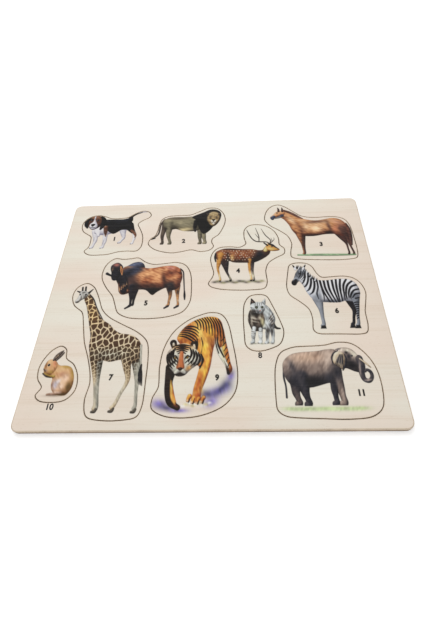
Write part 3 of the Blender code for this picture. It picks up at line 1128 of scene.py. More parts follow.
@dataclass
class Sheet:
    """The plywood sheet that the frame board and the pieces are sawn from, and how its edges are worn."""

    finishes: Finishes
    arris: float = 0.00014
    clear: float = 0.00015
    bottom: float = field(default_factory=lambda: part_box("frame_board")[0].z)
    top: float = field(default_factory=lambda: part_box("frame_board")[1].z)
    cut: SawCut = field(init=False)
    tree: bpy.types.NodeTree = field(init=False)

    def __post_init__(self) -> None:
        """Set the saw to the sheet's thickness."""
        self.cut = SawCut(height=self.top - self.bottom)
        self.tree = self.cut.tree()

    def face(
        self, name: str, cuts: list[SawLine], numbers: list[Loop], loose: Array,
        first: Material,
    ) -> tuple[bpy.types.Object, Array]:
        """Make a sheet shape's upper face.

        Args:
            name: the piece's name.
            cuts: the saw lines round it, the outer one first.
            numbers: outlines of what is printed on it in ink, filled even-odd.
            loose: places that its triangles meet at, n by 2, of which those too near a saw line are dropped.
            first: its material.

        Returns:
            The object, and the places of its points.
        """
        rims = [cut.moved(cut.arris) for cut in cuts]
        areas = rims + [anticlockwise(loop) for loop in numbers]
        loose = loose[depth_in(loose, rims)[0] > self.clear]
        points = np.vstack([*areas, loose])
        faces, slots = [], []
        for triangle, held in filled(areas, loose):
            inked = sum(area >= len(cuts) for area in held) % 2
            if not any(0 < area < len(cuts) for area in held):
                faces.append(triangle)
                slots.append(Wood.INK.value if inked else Wood.FACE.value)
        outward, toast = np.zeros((len(points), 3)), np.zeros(len(points))
        start = 0
        for cut, rim in zip(cuts, rims):
            end = start + len(rim)
            outward[start:end, :2] = cut.loop - rim
            toast[start:end] = cut.toast
            start = end
        mesh = bpy.data.meshes.new(name)
        mesh.from_pydata([(x, y, self.top) for x, y in points], [], faces)
        mesh.attributes.new("outward", "FLOAT_VECTOR", "POINT").data.foreach_set("vector", outward.ravel())
        mesh.attributes.new("toast", "FLOAT", "POINT").data.foreach_set("value", toast)
        for material in (first, *self.finishes.sawn):
            mesh.materials.append(material)
        mesh.polygons.foreach_set("material_index", slots)
        thing = bpy.data.objects.new(name, mesh)
        bpy.context.scene.collection.objects.link(thing)
        return thing, points

    def close_back(self, thing: bpy.types.Object, hole: Optional[Loop], roof: float) -> None:
        """Saw the walls, close the back, and turn every face outwards.

        Args:
            thing: an object from face(), whose mesh this replaces.
            hole: outline of the magnet's pocket in the back, or None.
            roof: the height of that pocket's end.
        """
        mesh = self.cut.run(thing, self.tree, self.finishes.sawn[0])
        mesh.name = thing.name
        bm = bmesh.new()
        bm.from_mesh(mesh)
        bmesh.ops.remove_doubles(bm, verts=bm.verts, dist=SAME_PLACE)
        edges = [edge for edge in bm.edges if len(edge.link_faces) == 1]
        if hole is not None:
            low, high = ([bm.verts.new((x, y, z)) for x, y in hole] for z in (self.bottom, roof))
            for a, b, c, d in zip(low, low[1:] + low[:1], high[1:] + high[:1], high):
                bm.faces.new((a, b, c, d)).material_index = Wood.CUT.value
                edges.append(bm.edges.get((a, b)))
            bm.faces.new(high).material_index = Wood.BACK.value
        made = bmesh.ops.triangle_fill(bm, edges=edges, use_beauty=True, normal=(0, 0, -1))["geom"]
        for face in (part for part in made if isinstance(part, bmesh.types.BMFace)):
            face.material_index = Wood.BACK.value
        bmesh.ops.recalc_face_normals(bm, faces=bm.faces)
        bm.to_mesh(mesh)
        bm.free()
        mesh.shade_smooth()
        mesh.set_sharp_from_angle(angle=SHARP_ANGLE)
        flat, thing.data = thing.data, mesh
        bpy.data.meshes.remove(flat)


@dataclass
class Tray:
    """The frame board with its pockets and its two printed numbers, and the hardboard behind it."""

    sheet: Sheet
    numbers: list[tuple[str, float, float]]
    number_height: float = 4.8 * MM
    number_bold: float = 0.08 * MM
    toast_reach: float = 0.3 * MM

    def frame_board(self) -> bpy.types.Object:
        """Cut the board's face between its edge and its pockets, print its numbers, and saw its walls.

        Returns:
            The board.
        """
        sheet = self.sheet
        outer, *pockets = flat_loops("frame_board", sheet.top)
        edge_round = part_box("frame_board")[1].x - outer[:, 0].max()
        cuts = [SawLine(outer + outward_of(outer) * edge_round, edge_round, toast=0.0)]
        cuts += [SawLine(smooth_loop(loop, 3), sheet.arris, pocket=True) for loop in pockets]
        toasted = np.vstack([cut.moved(cut.arris + self.toast_reach) for cut in cuts[1:]])
        numbers = []
        for text, x, y in self.numbers:
            numbers += digit_loops(text, x * MM, y * MM, self.number_height, self.number_bold)
        board, _ = sheet.face("frame_board_wood", cuts, numbers, toasted, sheet.finishes.face)
        sheet.close_back(board, None, 0.0)
        return board

    def build(self) -> None:
        """Make the frame board, and dress the base board that it is glued to."""
        wood = self.frame_board()
        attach(wood, "tray")
        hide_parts("frame_board")
        log.info("frame board: %d faces", len(wood.data.polygons))
        dress("base_board", self.sheet.finishes.board)


def dress(node: str, finish: Material) -> None:
    """Give a CAD node that stays as it is its finish.

    Args:
        node: its name.
        finish: its material.
    """
    data = frame["nodes"][node].data
    data.materials.clear()
    data.materials.append(finish)
    log.info("%s dressed", node)


@dataclass
class AnimalPiece:
    """One lift-out piece: its sawn plywood, the picture and the number on its face, and its magnet.

    Args:
        sheet: the plywood that it is sawn from.
        number: the number printed on it.
        drawn: the box that the piece takes up on the drawing of the pictures, in millimetres: its lowest x
            and y, then its highest. The picture is drawn in that box, and stretched to the piece's own.
        label: the middle of its number on that drawing, or None where the board bears it.
        hair_angle: which way its coat's hair runs, in degrees.
        print_pitch: how far apart the points lie that hold the print, in metres.
    """

    sheet: Sheet
    number: int
    drawn: Box
    label: Optional[Spot] = None
    hair_angle: float = 0.0
    number_height: float = 4.8
    number_color: Color = 0x1E1B1A
    print_pitch: float = 0.00035
    canvas: Canvas = field(init=False)

    @property
    def name(self) -> str:
        """The animal's name, as the frame has it."""
        return type(self).__name__.lower()

    def paint(self) -> None:
        """Paint the picture."""

    def wood(self) -> bpy.types.Object:
        """Make the piece's printed face, its walls, its back and the magnet's pocket.

        Returns:
            The piece.
        """
        node, sheet = f"{self.name}_piece", self.sheet
        outline = smooth_loop(flat_loops(node, sheet.top)[0], 2)
        low, high = outline.min(axis=0), outline.max(axis=0)
        pitch = self.print_pitch * 1.0
        columns, rows = (np.arange(low[axis], high[axis], pitch) for axis in (0, 1))
        grid = np.stack(np.meshgrid(columns, rows), axis=-1).reshape(-1, 2)
        thing, points = sheet.face(
            f"{self.name}_wood", [SawLine(outline, sheet.arris)], [], grid, sheet.finishes.printed
        )
        first, last = np.array(self.drawn[:2]), np.array(self.drawn[2:])
        self.canvas = canvas = Canvas(first + (points - low) / (high - low) * (last - first), self.hair_angle)
        self.paint()
        if self.label:
            canvas.shapes(digit_loops(str(self.number), *self.label, self.number_height), self.number_color)
        colors = np.hstack([to_linear(canvas.pressed()), np.ones((len(points), 1))])
        kept = thing.data.attributes
        kept.new("print_color", "FLOAT_COLOR", "POINT").data.foreach_set("color", colors.ravel())
        kept.new("ink", "FLOAT", "POINT").data.foreach_set("value", canvas.ink)
        hole = smooth_loop(flat_loops(node, sheet.bottom)[-1], 2)
        heights = [vert.co.z for vert in frame["nodes"][node].data.vertices]
        sheet.close_back(thing, hole, min(z for z in heights if z > sheet.bottom + SAME_HEIGHT))
        return thing

    def build(self) -> None:
        """Make the piece and dress its magnet."""
        node = f"{self.name}_piece"
        wood = self.wood()
        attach(wood, frame["nodes"][node]["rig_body"])
        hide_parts(node)
        log.info("%s: %d faces", node, len(wood.data.polygons))
        dress(f"{self.name}_magnet", self.sheet.finishes.magnet)


# The pieces. Their pictures are drawn in millimetres from the board's middle.


@dataclass
class Dog(AnimalPiece):
    """A black, brown and white hound that looks at you."""

    drawn: Box = (-138.5, 49.6, -66.3, 104.9)
    label: Spot = (-101.0, 69.0)
    hair_angle: float = -15.0

    def paint(self) -> None:
        """Paint the far legs, the tail, the body, the near legs and the head."""
        c = self.canvas
        white = Coat(0x9692A0, 0xECE9EA, 0xFFFFFD, 0.05)
        black = Coat(0x000106, 0x0E1018, 0x3A4050)
        brown = Coat(0x221412, 0x704A38, 0xCC9E80, 0.2)
        c.leg((-94, 81), (-91.6, 70), (-95, 64), 4, 1.2, white, lift=-0.1)
        c.leg((-123, 80), (-120.8, 67), (-122.8, 58.6), 4, 1.4, white, lift=-0.04)
        c.limb([(-88, 93.5, 3.2), (-87, 98, 2), (-83, 101.4, 1.6), (-77, 103.8, 1.2)], black)
        c.limb([(-80, 102.9, 1.2), (-75.6, 104.5, 1.3), (-71.4, 104.3, 0.9)], white, 1.6)
        c.patch([(-118, 88), (-86, 88), (-84, 79.4), (-91, 80), (-97, 80), (-104, 76.4), (-110, 74.4),
            (-118, 74.5), (-124, 77), (-124, 85)], white, 6)
        c.patch([(-117, 94), (-108, 94.8), (-96, 94.6), (-88.6, 95.6), (-85, 89.4), (-82.4, 80), (-84.6, 77),
            (-90.4, 80.2), (-96, 79.6), (-103, 75.4), (-109, 78), (-113, 84)], black, 6, 1)
        c.limb([(-87.6, 86, 4.6), (-85, 80.6, 3.4), (-81.8, 76.4, 2)], black, 2)
        c.leg((-81.6, 76), (-80.4, 69), (-81.6, 62.6), 1.9, 1.1, white)
        c.limb([(-84.4, 79, 2), (-81.2, 75.6, 1.9), (-79.6, 72, 1.2), (-80.2, 69.5, 0.7)], brown, 1)
        c.leg((-111.6, 76), (-110.9, 66), (-112, 58.4), 2.8, 1.5, white, 1.5)
        c.limb([(-112.6, 84, 3.4), (-111.9, 78, 2.7), (-111, 72.6, 1.2)], brown, 1.6, -0.06)
        for x, y in ((-122, 67), (-111.4, 65), (-94.6, 70)):
            c.spray(x - 0.8, y, 0.8, 5, white.shade, 0.6, -8)
        c.limb([(-122, 84, 4.5), (-120, 78, 3.6), (-119, 74, 2)], white, 2, 0.05)
        for x, y in ((-124.6, 57.6), (-113.8, 57.6), (-83.4, 62), (-96.6, 63.4)):
            c.dot(x, y, 0.6, black.bright, 0.7)
        c.patch([(-131, 99), (-126, 100.4), (-120.6, 99.4), (-116.4, 95), (-117, 88.6), (-124.4, 82),
            (-128, 81.8), (-133.4, 88.4), (-134.4, 94)], brown, 4.5)
        c.patch([(-127.2, 100.2), (-125.8, 100.2), (-125.6, 95), (-122, 86.4), (-124.4, 82.4), (-128.2, 82.2),
            (-131.4, 86), (-131, 89.6), (-128.4, 92.4)], white, 3.4, 0.6, -0.04)
        c.spray(-130.4, 95, 2.4, 2.6, brown.shade, 0.85)
        c.limb([(-119.6, 99, 1.4), (-116.6, 94, 2.7), (-116.6, 87.4, 3), (-118.2, 82.2, 1.5)], black, 0.6)
        c.limb([(-132, 98, 1.2), (-134.6, 93.4, 2.3), (-134.6, 88.4, 2.3), (-132.8, 84.4, 1.1)], black, 0.5)
        c.eye(-130, 94.2, 1.25, brown.shade)
        c.eye(-123.2, 94, 1.25, brown.shade)
        c.patch([(-129.6, 88.8), (-127.3, 89.6), (-125, 88.8), (-127.4, 85.8), (-128.8, 86.6)], black, 0.9)
        c.limb([(-129.8, 84.7, 0.2), (-127.2, 84.6, 0.35), (-124.4, 84.3, 0.25)], black)


@dataclass
class Lion(AnimalPiece):
    """A black-maned lion that stands side on and looks at you."""

    drawn: Box = (-64.5, 49.6, 12.8, 105.9)
    label: Spot = (-29.0, 63.5)
    hair_angle: float = -12.0

    def paint(self) -> None:
        """Paint the tail, the legs, the body, the mane and the face."""
        c = self.canvas
        coat = Coat(0x38322A, 0x8A836E, 0xD4C8A6, 0.08)
        dark = Coat(0x221C1C, 0x584C44, 0x948472)
        mane = Coat(0x000005, 0x100F15, 0x4A4448, 0.2)
        gold = Coat(0x54402A, 0xA48E6C, 0xE8D4A8, 0.25)
        white = Coat(0x80705E, 0xE2DACA, 0xFCFAF4, 0.06)
        c.limb([(-50.6, 91, 1.6), (-54, 86, 1.1), (-55.6, 73, 0.9), (-60, 67.8, 0.8)], dark)
        c.limb([(-58.8, 67.8, 0.9), (-61.8, 67.2, 1.3)], mane)
        c.leg((-49.4, 86), (-51.4, 70), (-50.4, 60.6), 3.6, 1.4, dark)
        c.leg((-13.2, 78), (-12.8, 68), (-12, 59.8), 3, 1.5, coat, lift=-0.12)
        c.patch([(-51.6, 90.6), (-47, 93.9), (-40, 94.9), (-30, 94.6), (-20, 95), (-12, 92), (-10, 82),
            (-15, 76.4), (-30, 76), (-38, 78.8), (-43, 78), (-49.6, 80), (-52, 85.6)], coat, 8)
        c.sprays([(-29, 77.8, 9, 3.4, 0xF0DEB0, 0.9, 6), (-36, 93, 14, 2, dark.plain, 0.6),
            (-32, 86, 7, 3, coat.bright, 0.35)])
        c.leg((-45.4, 87), (-45, 70), (-42.4, 60.4), 5.4, 1.5, coat, 3.5, -0.03)
        c.limb([(-17, 88, 3.6), (-18.4, 80, 2.6), (-17.8, 75.6, 1.2)], mane, 1.8)
        c.leg((-9.6, 76), (-8.7, 68), (-7, 60), 3, 1.6, coat, 1.4, 0.1)
        c.patch([(-22.6, 93.6), (-9.6, 100.6), (-3, 103.9), (3, 103.7), (7.6, 100.8), (9, 95), (4.6, 84.4),
            (0.6, 80.8), (-2.4, 76.4), (-9.6, 71.2), (-16.6, 85), (-17.8, 90)], mane, 6, 1.2)
        c.patch([(-5.8, 98), (-2, 101.6), (2.4, 102.2), (6.6, 100), (8.4, 95.6), (7.8, 89.6), (2, 81.4),
            (-2.4, 81.6), (-5.6, 86), (-7.2, 89.6)], gold, 4, 2.4, 0.1)
        c.limb([(1, 97.6, 1.2), (0.8, 94, 1.2), (0.9, 90.6, 1.3)], gold, 0.9, 0.16)
        for side in (-1, 1):
            c.spray(0.8 + 3.4 * side, 92.4, 1.3, 2.4, gold.shade, 0.6, -20 * side)
            c.limb([(0.6 + 6 * side, 97, 1.4), (0.6 + 6.9 * side, 98.6, 1)], dark, 0.4)
            c.limb([(0.9 + 1.9 * side, 88.3, 1.5), (0.9 + 0.9 * side, 86.4, 1.6), (1, 84.4, 1.2)], white, 0.7)
            c.eye(0.8 + 3 * side, 93.8, 0.85, gold.plain)
        c.patch([(-0.8, 90.3), (0.9, 90.8), (2.6, 90.2), (0.9, 88), (-0.1, 88.7)], mane, 0.8)
        c.limb([(-0.6, 86.1, 0.25), (0.9, 87, 0.35), (2.4, 86.2, 0.25)], mane)


@dataclass
class Horse(AnimalPiece):
    """A chestnut horse that stands side on."""

    drawn: Box = (54.0, 36.0, 139.5, 106.5)
    label: Spot = (106.5, 54.5)
    hair_angle: float = -20.0

    def paint(self) -> None:
        """Paint the grass, the far legs, the body, the near legs, the head and the mane."""
        c = self.canvas
        coat = Coat(0x5C3226, 0xD49D70, 0xFFE2C0, 0.15)
        dark = Coat(0x1E1418, 0x5C403A, 0xA07664)
        muzzle = Coat(0x1A1E30, 0x48506A, 0x8C94AA, 0.05)
        grass = Coat(0x327042, 0x689E68, 0xBED4B0, 0.3)
        c.limb([(83, 42.2, 0.9), (100, 41.9, 1.3), (120, 41.4, 1.3), (137, 41.2, 0.9)], grass, strength=0.8)
        c.leg((126, 70), (131, 54), (131.8, 42.4), 6, 0.9, dark, lift=-0.1)
        c.leg((89.6, 70), (90.2, 55), (90, 43.6), 4, 0.9, dark)
        c.limb([(134.4, 79, 1.2), (136.4, 72, 1.7), (136.2, 62, 1.9), (135.6, 53, 1.1)], dark)
        c.patch([(74, 99), (89.5, 88.4), (97, 85.6), (106, 84.4), (114, 85.6), (121, 87), (128.5, 85.6),
            (133.6, 80.8), (135.6, 73), (134.4, 66), (129, 63.6), (122, 66.2), (112, 66.2), (101, 64.4),
            (91, 64.8), (84, 67), (80.2, 72.4), (77.6, 79.5), (73.4, 86.5), (70.2, 90)], coat, 9)
        c.sprays([(105, 82.6, 13, 2.2, dark.plain, 0.7, 3), (117.5, 76, 2.2, 8, dark.plain, 0.8, 12),
            (117, 68, 5, 2.4, dark.shade, 0.85), (101, 65.4, 12, 1.8, dark.shade, 0.8),
            (105, 74, 7, 4.5, coat.bright, 0.75), (94.5, 76.5, 4.4, 4.4, coat.bright, 0.7, -30),
            (125, 82.4, 6, 2.6, 0xF4BEA0, 0.75, -20), (130, 73, 5.4, 8, 0x704A4C, 0.8, 8),
            (123, 73, 3, 6, 0xD68E74, 0.6, -15), (86.5, 79.5, 2.4, 7, coat.shade, 0.4, 38),
            (80.5, 86, 2.8, 6.5, coat.bright, 0.7, 38), (89.5, 71.5, 3.4, 4, dark.plain, 0.5)])
        c.leg((130.5, 73), (133.4, 56), (136.4, 42), 5.4, 1, dark, 3)
        c.leg((86.5, 71), (88.6, 55), (89.2, 43.4), 4.4, 0.95, coat, 2.5, -0.16)
        c.spray(88.4, 54, 1.5, 6, dark.shade, 0.55)
        c.limb([(72.6, 95.6, 3.4), (68.6, 94.5, 3.5), (64.8, 92, 2.5), (62, 90, 2.1)], coat, 1.5, 0.05)
        c.limb([(72, 92, 2.7), (68, 90, 1.7), (64.6, 89, 1.3)], muzzle, 1.6, -0.1, strength=0.85)
        c.limb([(63.4, 90.9, 2.2), (61.6, 89.3, 2.1), (61.9, 88, 1.7)], muzzle, 1.2)
        for x, tilt in ((68.7, -0.8), (72.6, -0.2)):
            c.limb([(x, 98, 1.3), (x, 100.6, 1), (x + tilt, 103, 0.3)], dark)
        c.limb([(74, 98.6, 1.5), (79, 96.2, 1.6), (84, 92.8, 1.7), (89, 88.9, 1.4), (92.5, 86.9, 0.6)],
            dark, 0.8, 0.16)
        c.eye(67, 95.7, 0.8, dark.shade)
        c.dot(60.8, 89.7, 0.5, muzzle.shade)


@dataclass
class Deer(AnimalPiece):
    """A spotted stag with branched antlers."""

    drawn: Box = (-1.8, 5.7, 70.8, 81.1)
    label: Spot = (25.5, 26.5)
    hair_angle: float = -8.0

    def paint(self) -> None:
        """Paint the ground, the far legs, the body and its spots, the near legs, the head and the antlers."""
        c = self.canvas
        rust = Coat(0x38201C, 0x8A543A, 0xCE9468, 0.16)
        dark = Coat(0x0A0A12, 0x302A2E, 0x706460, 0.16)
        tan = Coat(0x684222, 0xCA9450, 0xFCD892, 0.13)
        pale = Coat(0x8A7848, 0xE2D094, 0xFCF4CE)
        for k in range(16):
            x, tint = 3.6 + 2.9 * k, (dark.plain, 0x80825C, dark.bright, 0xA8A478)[k % 4]
            c.spray(x, 14.4 + 0.9 * math.sin(k * 1.7), 3, 1.3, tint, 0.9, 8 * math.sin(k * 2.9), c.every)
        c.leg((13, 36), (15, 25), (18.8, 16), 4, 0.95, dark, lift=0.1)
        c.leg((39, 38), (39, 26), (40.2, 15.8), 2.6, 0.85, dark, lift=0.25)
        c.patch([(3.2, 44), (4, 48), (8, 50.8), (14, 52.3), (30, 51.2), (40, 50.7), (46, 49.4), (50, 49.8),
            (53, 53.6), (56, 53), (57.4, 48.6), (55.4, 43.6), (41, 35), (34, 35), (21, 35.8), (17.4, 37.4),
            (12, 36), (6, 39)], rust, 7)
        c.sprays([(21, 51.6, 16, 1.5, dark.plain, 0.85, -1), (47, 44.6, 6.4, 6, 0x1E202E, 0.95, 40),
            (42.6, 39, 6, 4, dark.shade, 0.85, 30), (20, 41.4, 2.2, 4, tan.bright, 0.8, 6),
            (16, 41.6, 1.7, 7, dark.plain, 0.75, 4)])
        for row in range(5):
            for k in range(12):
                x = 10.6 + 2.75 * k + 1.3 * (row % 2) + 0.5 * math.sin(3.1 * k + row)
                y = 49.4 - 2.6 * row - 0.04 * k + 0.4 * math.sin(2.3 * k + 1.7 * row)
                if x < 40 or y > 42:
                    c.dot(x, y, 0.42 + 0.14 * math.sin(k * 5.3 + row), 0xF0E2CC, 0.85)
        c.limb([(4.2, 46.4, 1), (3.6, 42, 1.1), (4.2, 37, 0.6)], dark, 0.4)
        c.leg((9, 45), (6.4, 29.4), (9, 16), 4.4, 0.9, tan, 2.6)
        c.spray(12, 36, 1.6, 6, rust.shade, 0.7, 8)
        c.leg((37, 38.6), (36.4, 27), (37.8, 15.8), 2.7, 0.9, tan, 2.4, 0.04)
        for x in (9, 18.8, 37.6, 40.2):
            c.spray(x - 0.8, 20.6, 1.2, 5, pale.bright, 0.85)
            c.dot(x - 0.4, 15.4, 0.8, dark.shade)
        c.limb([(52.6, 49, 2.6), (54.4, 51.6, 2.6), (56.8, 52, 2.3)], pale, 1.2, -0.08)
        c.patch([(53.4, 55.4), (56, 57.4), (58.6, 56.6), (61.4, 53.9), (64.2, 51.6), (66.2, 50.2),
            (65.9, 48.7), (57.4, 48), (54, 49.6)], tan, 2.4, 0.5, 0.04)
        c.spray(58, 50.4, 3.4, 1.8, pale.plain, 0.8, -20)
        c.limb([(56.2, 56.4, 1.2), (59.4, 55, 1.4), (62.6, 52.3, 0.9), (65.2, 50.2, 0.7)], dark, 0.8, -0.05)
        c.limb([(54.8, 54.8, 1), (51.6, 58, 0.7)], dark, 0.2)
        c.eye(59, 53.3, 0.7, dark.shade)
        horn = Coat(0x221C1A, 0x54483E, 0x9C8E7C)
        for line in ([(56.8, 57, 0.6), (54.4, 58.9, 0.6), (44, 60.1, 0.65), (40.2, 63.4, 0.6),
                (37, 69.6, 0.55), (35.1, 74.8, 0.3)], [(46.8, 60, 0.5), (46.9, 66, 0.5), (44, 77, 0.25)],
                [(46.7, 64, 0.4), (43.4, 69.4, 0.2)], [(57.4, 57.4, 0.6), (58.2, 61, 0.5), (53.4, 67.6, 0.5),
                (49.6, 76, 0.2)], [(58, 57.6, 0.5), (61.8, 62, 0.3), (61.6, 64.2, 0.15)], [(59.8, 60, 0.35),
                (58.8, 64, 0.15)]):
            c.limb(line, horn)


@dataclass
class Ox(AnimalPiece):
    """A humped ox, red-brown on top and dark below."""

    drawn: Box = (-105.3, -20.8, -18.0, 44.3)
    label: Spot = (-59.0, -5.5)
    hair_angle: float = -20.0

    def paint(self) -> None:
        """Paint the tail, the far legs, the body, the near legs, the hump, the brisket and the head."""
        c = self.canvas
        red = Coat(0x46241E, 0xB06E4C, 0xFCC694, 0.24)
        black = Coat(0x06070E, 0x20202A, 0x5C5C6A, 0.12)
        tan = Coat(0x603E28, 0xC69264, 0xF6D6A8, 0.14)
        hump = Coat(0x141622, 0x42465A, 0x848CA4, 0.12)
        c.limb([(-29.6, 30.4, 0.8), (-26.8, 27.4, 0.7), (-25.7, 20, 0.7), (-24.3, 6, 0.6)], black, 0, 0.1)
        c.limb([(-24.2, 6, 0.7), (-23.8, 1, 1.1), (-23.5, -2.8, 0.6)], black)
        c.leg((-31.6, 12), (-30.4, 2), (-29.2, -9), 3.4, 1.1, tan)
        c.leg((-70.6, 8), (-70.8, 0), (-71, -7.4), 3, 1.1, black)
        c.limb([(-95, 24, 1), (-98.6, 25.6, 1.2), (-101, 27, 1.5)], black)
        c.patch([(-85, 34), (-79, 35), (-66, 33), (-60, 32), (-42, 34.5), (-35.6, 34), (-30.8, 31.4),
            (-28, 27), (-27, 21), (-28.2, 15), (-30, 9.6), (-36, 7), (-41, 10), (-50, 5.6), (-54, 2.4),
            (-61, 8), (-71, 8), (-78, 4.4), (-84, 4), (-88, 14), (-88, 27)], red, 10, lift=0.05)
        c.sprays([(-62, 25, 9, 4.4, red.bright, 0.7, 4), (-51, 22.6, 4.4, 6, red.bright, 0.5),
            (-39, 31.8, 6, 2.4, 0xDE9E96, 0.75, -14), (-60, 8, 15, 4, black.plain, 0.98),
            (-54, 6, 7, 4, black.shade, 0.98), (-59, 13, 15, 3, 0x4E322C, 0.8),
            (-44.4, 19, 2.4, 8, 0x462A26, 0.85, 14), (-37, 26, 6, 2.4, 0x683C36, 0.65, -16),
            (-34, 21, 3.4, 4, red.bright, 0.5), (-38, 12, 5, 5, black.plain, 0.97, -20),
            (-30, 14, 3, 5, 0x5A362E, 0.8), (-76, 20, 7, 9, 0x4A383A, 0.85, 20),
            (-83, 22, 5, 11, black.plain, 0.97), (-72, 12, 5, 5, black.plain, 0.85),
            (-68, 30, 5, 2.4, black.bright, 0.5, 12)])
        c.leg((-38.6, 11), (-37.2, 1.6), (-38.4, -9), 3.4, 1.2, tan, 3.4, -0.05)
        c.sprays([(-38.4, 9, 3.8, 6, black.plain, 0.97), (-39.4, 0, 0.9, 5, black.plain, 0.8)])
        c.leg((-75, 12), (-73.6, 0), (-73.4, -8.4), 4, 1.2, black, 3, 0.06)
        c.sprays([(-36.6, -4, 0.9, 2, 0xF0DCC0, 0.8), (-30.6, 5, 1.4, 3, black.plain, 0.7),
            (-29.2, -4, 0.9, 2, 0xF0DCC0, 0.8)])
        for x, y in ((-39.6, -10), (-30.4, -10), (-75.6, -9.6)):
            c.limb([(x + 1, y + 0.8, 1.1), (x - 2, y - 1, 0.9)], black)
        c.patch([(-88, 31), (-81.6, 35.6), (-77, 38.6), (-72, 39.8), (-68, 38.8), (-65.4, 36), (-64.4, 31),
            (-67, 26), (-74, 21), (-84, 20)], hump, 6, 7)
        c.sprays([(-74, 37, 7, 1.8, hump.bright, 0.7, 14), (-80, 27, 6, 3.4, hump.shade, 0.75, 35)])
        c.patch([(-91.6, 22), (-88, 14), (-86.4, 7), (-83.8, 4), (-79.6, 4), (-77, 9), (-78, 18), (-82, 26),
            (-86, 31)], black, 4, 2.4)
        for k in range(9):
            x, y = -86.4 + 1.5 * (k % 6), 9 + 1.7 * (k % 5)
            c.limb([(x, y + 1.8, 0.4), (x + 0.7, y - 1.6, 0.9)], (tan, red)[k % 2], 0.9, 0.16, strength=0.85)
        c.patch([(-98, 36.4), (-92, 39.4), (-86.2, 34), (-89, 21.4), (-91.4, 19), (-94.4, 19.4),
            (-96.2, 22.4), (-97, 28), (-98.4, 32)], black, 4.4, 0.8, 0.04)
        c.sprays([(-93.4, 36.8, 4, 2.4, 0xCE8470, 0.8, -4), (-96.4, 31.6, 1.2, 2.4, red.bright, 0.5)])
        for side in (-1, 1):
            c.eye(-93 + 2.7 * side, 30.2, 0.7, red.shade)
            c.spray(-93.4 + 1.4 * side, 20.6, 1, 0.8, black.bright, 0.6)
        c.limb([(-88.6, 34.6, 1), (-87, 29.6, 1.6), (-86, 25, 0.6)], tan, 0.5, -0.02)
        c.limb([(-87.8, 32.2, 0.4), (-86.9, 28.6, 0.6), (-86.1, 26, 0.3)], red, 0.3, -0.2)


